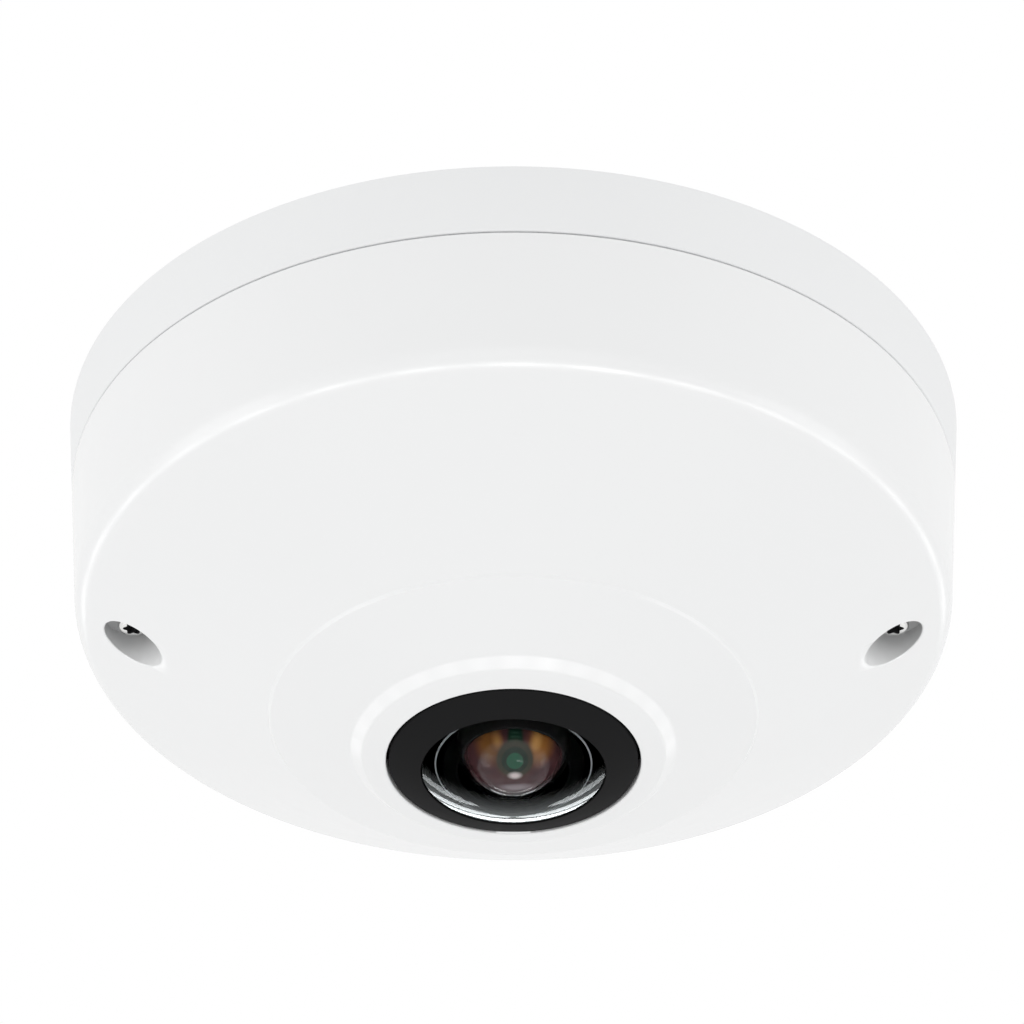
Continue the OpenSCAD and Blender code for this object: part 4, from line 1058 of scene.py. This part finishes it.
SECOND_R = 9.2
SECOND_BACK = -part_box("second_lens")[1].z / MM
SECOND_FRONT = SECOND_BACK + 3
SECOND_TOP = -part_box("second_lens")[0].z / MM
second_line = dome(SECOND_R, SECOND_FRONT, SECOND_TOP, 32) + rounded([
    (SECOND_R, SECOND_FRONT), (SECOND_R, SECOND_BACK, 0.2), (0, SECOND_BACK),
])[1:]
second = turned("second_element", second_line, closed=False)
dress(second, coating_colours(), "base", "coated_glass", "second_lens")

# %% [markdown]
# ## Finishes for the small parts
# Metals share one helper as well: a slow change of tone, a changing gloss and a fine grain. Stretching the
# pattern along one axis turns the grain into brushing.

# %% Metals and small-part finishes


def metal(name, colour, roughness, stretch=(1, 1, 1), depth=0.002):
    material, tree, shader = new_finish(name, roughness, metallic=1.0)
    place = object_place(tree, stretch)
    tone = blended(tree, speckle(tree, place, 4), colour, tuple(0.86 * c for c in colour))
    tree.links.new(tone, shader.inputs["Base Color"])
    gloss = spread(tree, speckle(tree, place, 1.2), roughness - 0.06, roughness + 0.08)
    tree.links.new(gloss, shader.inputs["Roughness"])
    bumped(tree, shader, speckle(tree, place, 0.3, 3), depth)
    return material


def circuit_board():
    material, tree, shader = new_finish("circuit_board", 0.35)
    place = object_place(tree)
    mask = blended(tree, speckle(tree, place, 7), (0.008, 0.050, 0.026), (0.005, 0.034, 0.019))
    tracks = tree.nodes.new("ShaderNodeTexBrick")
    sizes = {"Scale": 0.3 / MM, "Mortar Size": 0.03, "Brick Width": 0.9, "Row Height": 0.3}
    for socket, value in sizes.items():
        tracks.inputs[socket].default_value = value
    tree.links.new(place, tracks.inputs["Vector"])
    routed = product(tree, tracks.outputs["Fac"], ramp(tree, speckle(tree, place, 6), 0.42, 0.5))
    tree.links.new(layered(tree, mask, routed, (0.03, 0.14, 0.065)), shader.inputs["Base Color"])
    bumped(tree, shader, routed, 0.03)
    return material


def flex_film():
    material, tree, shader = new_finish("flex_film", 0.3)
    place = object_place(tree)
    film = blended(tree, speckle(tree, place, 5), (0.42, 0.19, 0.035), (0.35, 0.15, 0.03))
    traces = tree.nodes.new("ShaderNodeTexWave")
    traces.bands_direction = "Y"
    traces.inputs["Scale"].default_value = 0.4 / MM
    tree.links.new(place, traces.inputs["Vector"])
    tone = layered(tree, film, traces.outputs["Fac"], (0.22, 0.09, 0.02))
    tree.links.new(tone, shader.inputs["Base Color"])
    bumped(tree, shader, traces.outputs["Fac"], 0.02)
    return material


def soft_foam():
    material, tree, shader = new_finish("grey_foam", 0.95, specular=0.1)
    place = object_place(tree)
    cells = tree.nodes.new("ShaderNodeTexVoronoi")
    cells.inputs["Scale"].default_value = 1.6 / MM
    tree.links.new(place, cells.inputs["Vector"])
    tone = blended(tree, cells.outputs["Distance"], (0.055, 0.057, 0.06), (0.15, 0.155, 0.16))
    tree.links.new(tone, shader.inputs["Base Color"])
    bumped(tree, shader, cells.outputs["Distance"], 0.15)
    return material


GRAINED = {
    "black_plastic": ((0.016, 0.016, 0.017), 0.7, 0.5, 0.06, 0.25, 0.006, 0.35),
    "black_anodised": ((0.0075, 0.0078, 0.0085), 0.7, 0.5, 0.06, 0.2, 0.002, 0.12),
    "black_rubber": ((0.014, 0.014, 0.015), 0.7, 0.78, 0.08, 0.5, 0.012, 0.2),
    "chip_black": ((0.018, 0.019, 0.021), 0.7, 0.62, 0.06, 0.15, 0.004, 0.3),
    "thermal_pad": ((0.26, 0.36, 0.46), 0.85, 0.8, 0.05, 0.6, 0.02, 0.2),
    "natural_plastic": ((0.70, 0.67, 0.58), 0.93, 0.45, 0.05, 0.4, 0.004),
    "capacitor_sleeve": ((0.012, 0.016, 0.030), 0.7, 0.35, 0.05, 0.8, 0.004),
    "red_plastic": ((0.42, 0.022, 0.016), 0.85, 0.4, 0.05, 0.3, 0.003),
}
FINISHES = {name: grained(name, *values) for name, values in GRAINED.items()} | {
    "grey_foam": soft_foam(),
    "circuit_board": circuit_board(),
    "flex_film": flex_film(),
    "brass": metal("brass", (0.66, 0.47, 0.20), 0.32),
    "zinc_steel": metal("zinc_steel", (0.56, 0.57, 0.58), 0.36, depth=0.004),
    "stainless": metal("stainless", (0.74, 0.74, 0.73), 0.22),
    "bare_aluminium": metal("bare_aluminium", (0.78, 0.79, 0.80), 0.38, (0.08, 1, 1), 0.006),
    "clear_glass": PANE_GLASS,
    "filter_glass": FILTER_GLASS,
    "coated_glass": coated_glass("inner_glass", 1.6, 0.04, (0.75, 0.5, 0.9)),
}
print("finishes:", len(FINISHES))

# %% [markdown]
# ## Softening the construction shapes
# The construction model has crisp edges. For pieces whose shape is already right, a copy of the mesh is
# merged, its flat areas are joined into large faces, and every sharp edge gets a small two-step bevel,
# because moulded and machined edges always catch a line of light.

# %% Softening
BODY_PREFIX = "body:"
FLAT_WITHIN = radians(1)
SOFTEN_FROM = radians(40)


def slot_of(node):
    return nodes[node].material_slots[0].material.name.split(".")[0]


def body_of(node):
    return nodes[node].parent.name.removeprefix(BODY_PREFIX)


def softened(node, width):
    bm = bmesh.new()
    bm.from_mesh(nodes[node].data)
    bmesh.ops.remove_doubles(bm, verts=bm.verts, dist=2 * MERGE)
    bmesh.ops.dissolve_limit(bm, angle_limit=FLAT_WITHIN, verts=bm.verts, edges=bm.edges)
    sharp = [e for e in bm.edges if len(e.link_faces) == 2 and e.calc_face_angle(0) > SOFTEN_FROM]
    bevelled(bm, sharp, width, 2, clamped=True)
    return finished(node + "_shape", bm)


def dress_as(piece, node):
    return dress(piece, FINISHES[slot_of(node)], body_of(node), slot_of(node), node)


SOFT_WIDTHS = {
    "ceiling_gasket": 0.25, "cover_seal": 0.25, "screw_inserts": 0.1, "board_standoffs": 0.12,
    "processor": 0.12, "thermal_pad": 0.2, "heat_sink": 0.15, "memory_chips": 0.1,
    "network_transformer": 0.2, "network_jack": 0.15, "jack_shield": 0.08, "jack_contacts": 0.08,
    "power_header": 0.2, "power_pins": 0.08, "poe_transformer": 0.25, "inductors": 0.4,
    "card_slot": 0.08, "reset_switch": 0.15, "flex_connectors": 0.12, "camera_flex_cable": 0.05,
    "camera_plate": 0.15, "sensor_spacers": 0.08, "sensor_board": 0.08, "main_board": 0.1,
    "image_sensor": 0.1, "sensor_glass": 0.05, "lens_holder": 0.25, "filter_coil": 0.1,
    "filter_carriage": 0.1, "ir_cut_glass": 0.04, "clear_glass": 0.04, "lens_lock_ring": 0.15,
    "lens_barrel": 0.12, "front_lens_seal": 0.1, "front_lens_ring": 0.1, "lens_spacers": 0.05,
    "third_lens": 0.02, "aperture_stop": 0.04, "rear_lens": 0.02, "lens_shroud": 0.25,
    "screw_clip_left": 0.08, "screw_clip_right": 0.08, "memory_card": 0.12, "reset_button": 0.25,
}
for node, width in SOFT_WIDTHS.items():
    dress_as(softened(node, width), node)

# %% [markdown]
# ## Prisms and threads
# Screw drives are cut with prisms: an outline drawn flat, and the same outline a little smaller further in.
# A thread is a small triangle carried round and up, faded in and out over its first and last turn.

# %% Prisms and threads
STAR_STEPS = 72
THREAD_STEPS = 24
THREAD_SHARE = 0.45


def prism(bm, outline, place, low, high, taper=1.0):
    ends = []
    for depth, scale in ((low, taper), (high, 1.0)):
        ring = [((place[0] + x * scale) * MM, (place[1] + y * scale) * MM, -depth * MM) for x, y in outline]
        ends.append([bm.verts.new(spot) for spot in ring])
    for i in range(len(outline)):
        j = (i + 1) % len(outline)
        bm.faces.new((ends[0][i], ends[0][j], ends[1][j], ends[1][i]))
    for end in ends:
        bm.faces.new(end)


def star(outer, inner):
    middle, swing = (outer + inner) / 2, (outer - inner) / 2
    angles = [TURN * i / STAR_STEPS for i in range(STAR_STEPS)]
    return [((middle + swing * cos(6 * a)) * cos(a), (middle + swing * cos(6 * a)) * sin(a)) for a in angles]


def cross(reach, half):
    quarter = [(reach, -half), (reach, half), (half, half)]
    outline = []
    for i in range(4):
        c, s = round(cos(TURN * i / 4)), round(sin(TURN * i / 4))
        outline += [(x * c - y * s, x * s + y * c) for x, y in quarter]
    return outline


def thread(bm, place, core, crest, start, turns, pitch):
    rings = []
    total = int(turns * THREAD_STEPS)
    half = THREAD_SHARE * pitch
    for i in range(total + 1):
        turn = TURN * i / THREAD_STEPS
        rise = max(0.05, min(1, i / THREAD_STEPS, (total - i) / THREAD_STEPS))
        ring = []
        for radius, drop in ((core, -half), (core + (crest - core) * rise, 0), (core, half)):
            depth = start + pitch * i / THREAD_STEPS + drop * rise
            ring.append(bm.verts.new((
                (place[0] + radius * cos(turn)) * MM, (place[1] + radius * sin(turn)) * MM, -depth * MM,
            )))
        rings.append(ring)
    for a, b in zip(rings, rings[1:]):
        for k in range(3):
            bm.faces.new((a[k], a[(k + 1) % 3], b[(k + 1) % 3], b[k]))
    bm.faces.new(rings[0])
    bm.faces.new(rings[-1])


def with_threads(piece, places, core, crest, start, turns, pitch):
    bm = bmesh.new()
    bm.from_mesh(piece.data)
    for place in places:
        thread(bm, place, core, crest, start, turns, pitch)
    bmesh.ops.recalc_face_normals(bm, faces=bm.faces)
    bm.to_mesh(piece.data)
    bm.free()
    smoothed(piece.data)
    return piece


# %% [markdown]
# The two cover screws have a rounded head with a six-pointed star. The star is deep, and its inside is
# painted near-black as shade, which is what the eye reads first at the bottom of each recess. The shank has a
# groove for its clip and a fine thread.

# %% Cover screws
HEAD_R = 2.6
SHANK_R = 1.5
CORE_R = 1.25
GROOVE_R = 1.2
PITCH = 0.5
THREAD_TURNS = 6.6
STAR_OUT = 1.85
STAR_IN = 1.3
STAR_H = 1.3
HEAD_TOP = SEAT_DEPTH + HEAD_H
TIP_DEPTH = -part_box("cover_screw_right")[1].z / MM
CLIP_LOW = -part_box("screw_clip_right")[1].z / MM
CLIP_HIGH = -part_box("screw_clip_right")[0].z / MM
# A near-black finish painted into the star drive as shade.
PAINTED_DRIVE_SHADE = grained("drive_dark", (0.022, 0.022, 0.024), 0.6, 0.5, 0.08, 0.2, 0.004, specular=0.3)


def cover_screw(node, place):
    line = rounded([
        (0, TIP_DEPTH), (CORE_R - 0.3, TIP_DEPTH), (CORE_R, TIP_DEPTH + 0.4), (CORE_R, CLIP_LOW - 0.1),
        (GROOVE_R, CLIP_LOW), (GROOVE_R, CLIP_HIGH), (SHANK_R, CLIP_HIGH + 0.1), (SHANK_R, SEAT_DEPTH),
        (HEAD_R, SEAT_DEPTH, 0.15), (HEAD_R, HEAD_TOP, 0.7), (0, HEAD_TOP),
    ])
    bm = bmesh.new()
    turn_into(bm, line, False, 64, place)
    screw = finished(node + "_shape", bm)
    bm = bmesh.new()
    prism(bm, star(STAR_OUT, STAR_IN), place, HEAD_TOP - STAR_H, HEAD_TOP + 0.5, 0.86)
    screw = cut(screw, finished("star", bm))
    with_threads(screw, [place], GROOVE_R, SHANK_R, TIP_DEPTH + 0.5, THREAD_TURNS, PITCH)
    dress_as(screw, node)
    # Painted shade: the star's walls and floor get the near-black finish, where the real drive lies in
    # shadow.
    screw.data.materials.append(PAINTED_DRIVE_SHADE)
    for face in screw.data.polygons:
        middle = face.center / MM
        away = hypot(middle.x - place[0], middle.y - place[1])
        if away < STAR_OUT and HEAD_TOP - STAR_H - TOUCH < -middle.z < HEAD_TOP - 2 * TOUCH:
            face.material_index = 1


cover_screw("cover_screw_right", SCREW_PLACES[0])
cover_screw("cover_screw_left", SCREW_PLACES[1])

# %% [markdown]
# The small pan-head screws are turned in groups, one group for each node. Each head gets a cross drive and
# each shank a thread.

# %% Small screws
SMALL_SHANK_R = 1.0
SMALL_TURNS = 5
SMALL_PITCH = 0.45


def pan_screws(node, places, head_r, seat, top, tip):
    bm = bmesh.new()
    line = rounded([
        (0, tip), (0.7 * SMALL_SHANK_R, tip), (SMALL_SHANK_R, tip + 0.4), (SMALL_SHANK_R, seat),
        (head_r, seat, 0.1), (head_r, top, 0.28 * head_r), (0, top),
    ])
    for place in places:
        turn_into(bm, line, False, 32, place)
    screws = finished(node + "_shape", bm)
    bm = bmesh.new()
    for place in places:
        prism(bm, cross(0.6 * head_r, 0.15 * head_r), place, top - 0.8, top + 0.5, 0.75)
    screws = cut(screws, finished("drive", bm))
    core, crest = 0.85 * SMALL_SHANK_R, 1.1 * SMALL_SHANK_R
    dress_as(with_threads(screws, places, core, crest, tip + 0.5, SMALL_TURNS, SMALL_PITCH), node)


def box_depths(node):
    low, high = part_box(node)
    return -low.z / MM, -high.z / MM


for node, places, head_r, head_h in (
    ("main_board_screws", OUTER_POSTS, 2, 1.5),
    ("heat_sink_screws", [(12.8, 0), (-12.8, 0)], 2, 1.5),
    ("camera_plate_screws", INNER_POSTS, 2, 1.5),
    ("sensor_board_screws", [(16, 16), (-16, 16), (-16, -16), (16, -16)], 2, 1.5),
    ("shroud_screws", ring_places(35.75, [90, 210, 330]), 1.7, 1.2),
):
    top, tip = box_depths(node)
    pan_screws(node, places, head_r, top - head_h, top, tip)

# %% [markdown]
# ## Rubber and cans
# The grommet is turned about its own axis: a waist that fills the hole in the base, and a flange on each
# side. Each capacitor is an aluminium can in a sleeve, with a rolled groove near its foot and a scored cross
# on top.

# %% Grommet
LEAD_R = 3.2
GROMMET_T, GROMMET_BACK = box_depths("cable_grommet")
OUTER_T = 1.15
INNER_LOW = 3.05
grommet_line = rounded([
    (LEAD_R, GROMMET_BACK, 0.4), (GROMMET_R, GROMMET_BACK, 0.3), (GROMMET_R, OUTER_T, 0.2),
    (WAIST_R, OUTER_T), (WAIST_R, INNER_LOW),
    (GROMMET_R, INNER_LOW, 0.2), (GROMMET_R, GROMMET_T, 0.5), (6.4, GROMMET_T, 0.3),
    (5.8, GROMMET_T - 0.6, 0.3), (4.8, GROMMET_T - 0.6, 0.3), (4.4, GROMMET_T, 0.2), (LEAD_R, GROMMET_T, 0.3),
])
bm = bmesh.new()
turn_into(bm, grommet_line, True, 96, CABLE_PLACE[0])
dress_as(finished("grommet_shape", bm), "cable_grommet")

# %% Capacitors
CAN_R = 4
CAN_TOP, CAN_FOOT = box_depths("capacitors")
CAN_PLACES = [(35, -11.5), (33, -1), (-36, 10)]
can_line = rounded([
    (0, CAN_FOOT), (CAN_R, CAN_FOOT, 0.3), (CAN_R, CAN_FOOT + 1.2, 0.2), (CAN_R - 0.4, CAN_FOOT + 1.8, 0.3),
    (CAN_R, CAN_FOOT + 2.4, 0.2), (CAN_R, CAN_TOP, 0.4), (CAN_R - 0.8, CAN_TOP, 0.1),
    (CAN_R - 0.9, CAN_TOP - 0.15), (0, CAN_TOP - 0.15),
])
bm = bmesh.new()
for place in CAN_PLACES:
    turn_into(bm, can_line, False, 48, place)
cans = finished("capacitor_shape", bm)
bm = bmesh.new()
for place in CAN_PLACES:
    prism(bm, cross(2.4, 0.15), place, CAN_TOP - 0.4, CAN_TOP + 1)
cans = dress_as(cut(cans, finished("score", bm)), "capacitors")
cans.data.materials.append(FINISHES["bare_aluminium"])
for face in cans.data.polygons:
    middle = face.center / MM
    nearest = min(hypot(middle.x - x, middle.y - y) for x, y in CAN_PLACES)
    if nearest < CAN_R - 0.75 and -middle.z > CAN_TOP - 0.6:
        face.material_index = 1

# %% [markdown]
# ## Small board parts
# Rows of tiny two-ended parts and the transformer's leads make the board look populated. They are generated
# with loops, a few faces each, and stand on the board's lower face between the named parts.

# %% Board parts
BOARD_FACE = BOARD_DEPTH + 1.6
CHIP_L = 1.6
CHIP_W = 0.8
CHIP_H = 0.5
CHIP_END = 0.35
END_PAST = 0.04
END_OVER = 0.03
CHIP_EASE = 0.05
PART_FIELDS = (
    (-13.5, -6, 2.5, -40, -30, 1.9), (-20, -12, 2.6, 26.5, 37, 1.8), (28.5, 35.5, 2.4, 15, 25, 1.9),
)


def board_block(bm, xs, ys, height, foot, ease):
    """An eased block that stands on the board's lower face, or a foot's height off it."""
    (x0, x1), (y0, y1) = sorted(xs), sorted(ys)
    soft_block(bm, (x0, y0, -BOARD_FACE - height), (x1, y1, -BOARD_FACE - foot), ease, 1)


def grid(x0, x1, step_x, y0, y1, step_y):
    places = []
    y = y0
    while y <= y1:
        x = x0
        while x <= x1:
            places.append((x, y))
            x += step_x
        y += step_y
    return places


bodies, ends = bmesh.new(), bmesh.new()
for x, y in [place for field in PART_FIELDS for place in grid(*field)]:
    body_ys = (y - CHIP_W / 2, y + CHIP_W / 2)
    end_ys = (body_ys[0] - END_OVER, body_ys[1] + END_OVER)
    board_block(bodies, (x - CHIP_L / 2, x + CHIP_L / 2), body_ys, CHIP_H, 0, CHIP_EASE)
    for side in (-1, 1):
        edge = x + side * CHIP_L / 2
        end_xs = (edge + side * END_PAST, edge - side * CHIP_END)
        board_block(ends, end_xs, end_ys, CHIP_H + END_OVER, 0, CHIP_EASE)
dress(finished("board_part_bodies", bodies), FINISHES["chip_black"], "base", "chip_black")
dress(finished("board_part_ends", ends), FINISHES["zinc_steel"], "base", "zinc_steel")

# %% Transformer leads
LEADS = 8
LEAD_PITCH = 1.5
LEAD_W = 0.4
LEAD_T = 0.2
LEAD_H = 1.6
LEAD_EASE = 0.03
LEAD_RUNS = (
    (-0.1, 0.35, LEAD_H, LEAD_H - LEAD_T), (0.35 - LEAD_T, 0.35, LEAD_H, 0), (0.35 - LEAD_T, 0.85, LEAD_T, 0),
)
leads = bmesh.new()
low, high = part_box("network_transformer")
for side, face in ((-1, low.y / MM), (1, high.y / MM)):
    for i in range(LEADS):
        x = (i - (LEADS - 1) / 2) * LEAD_PITCH
        for near, painted_light_side, height, foot in LEAD_RUNS:
            ys = (face + side * near, face + side * painted_light_side)
            board_block(leads, (x - LEAD_W / 2, x + LEAD_W / 2), ys, height, foot, LEAD_EASE)
dress(finished("transformer_leads", leads), FINISHES["zinc_steel"], "base", "zinc_steel")
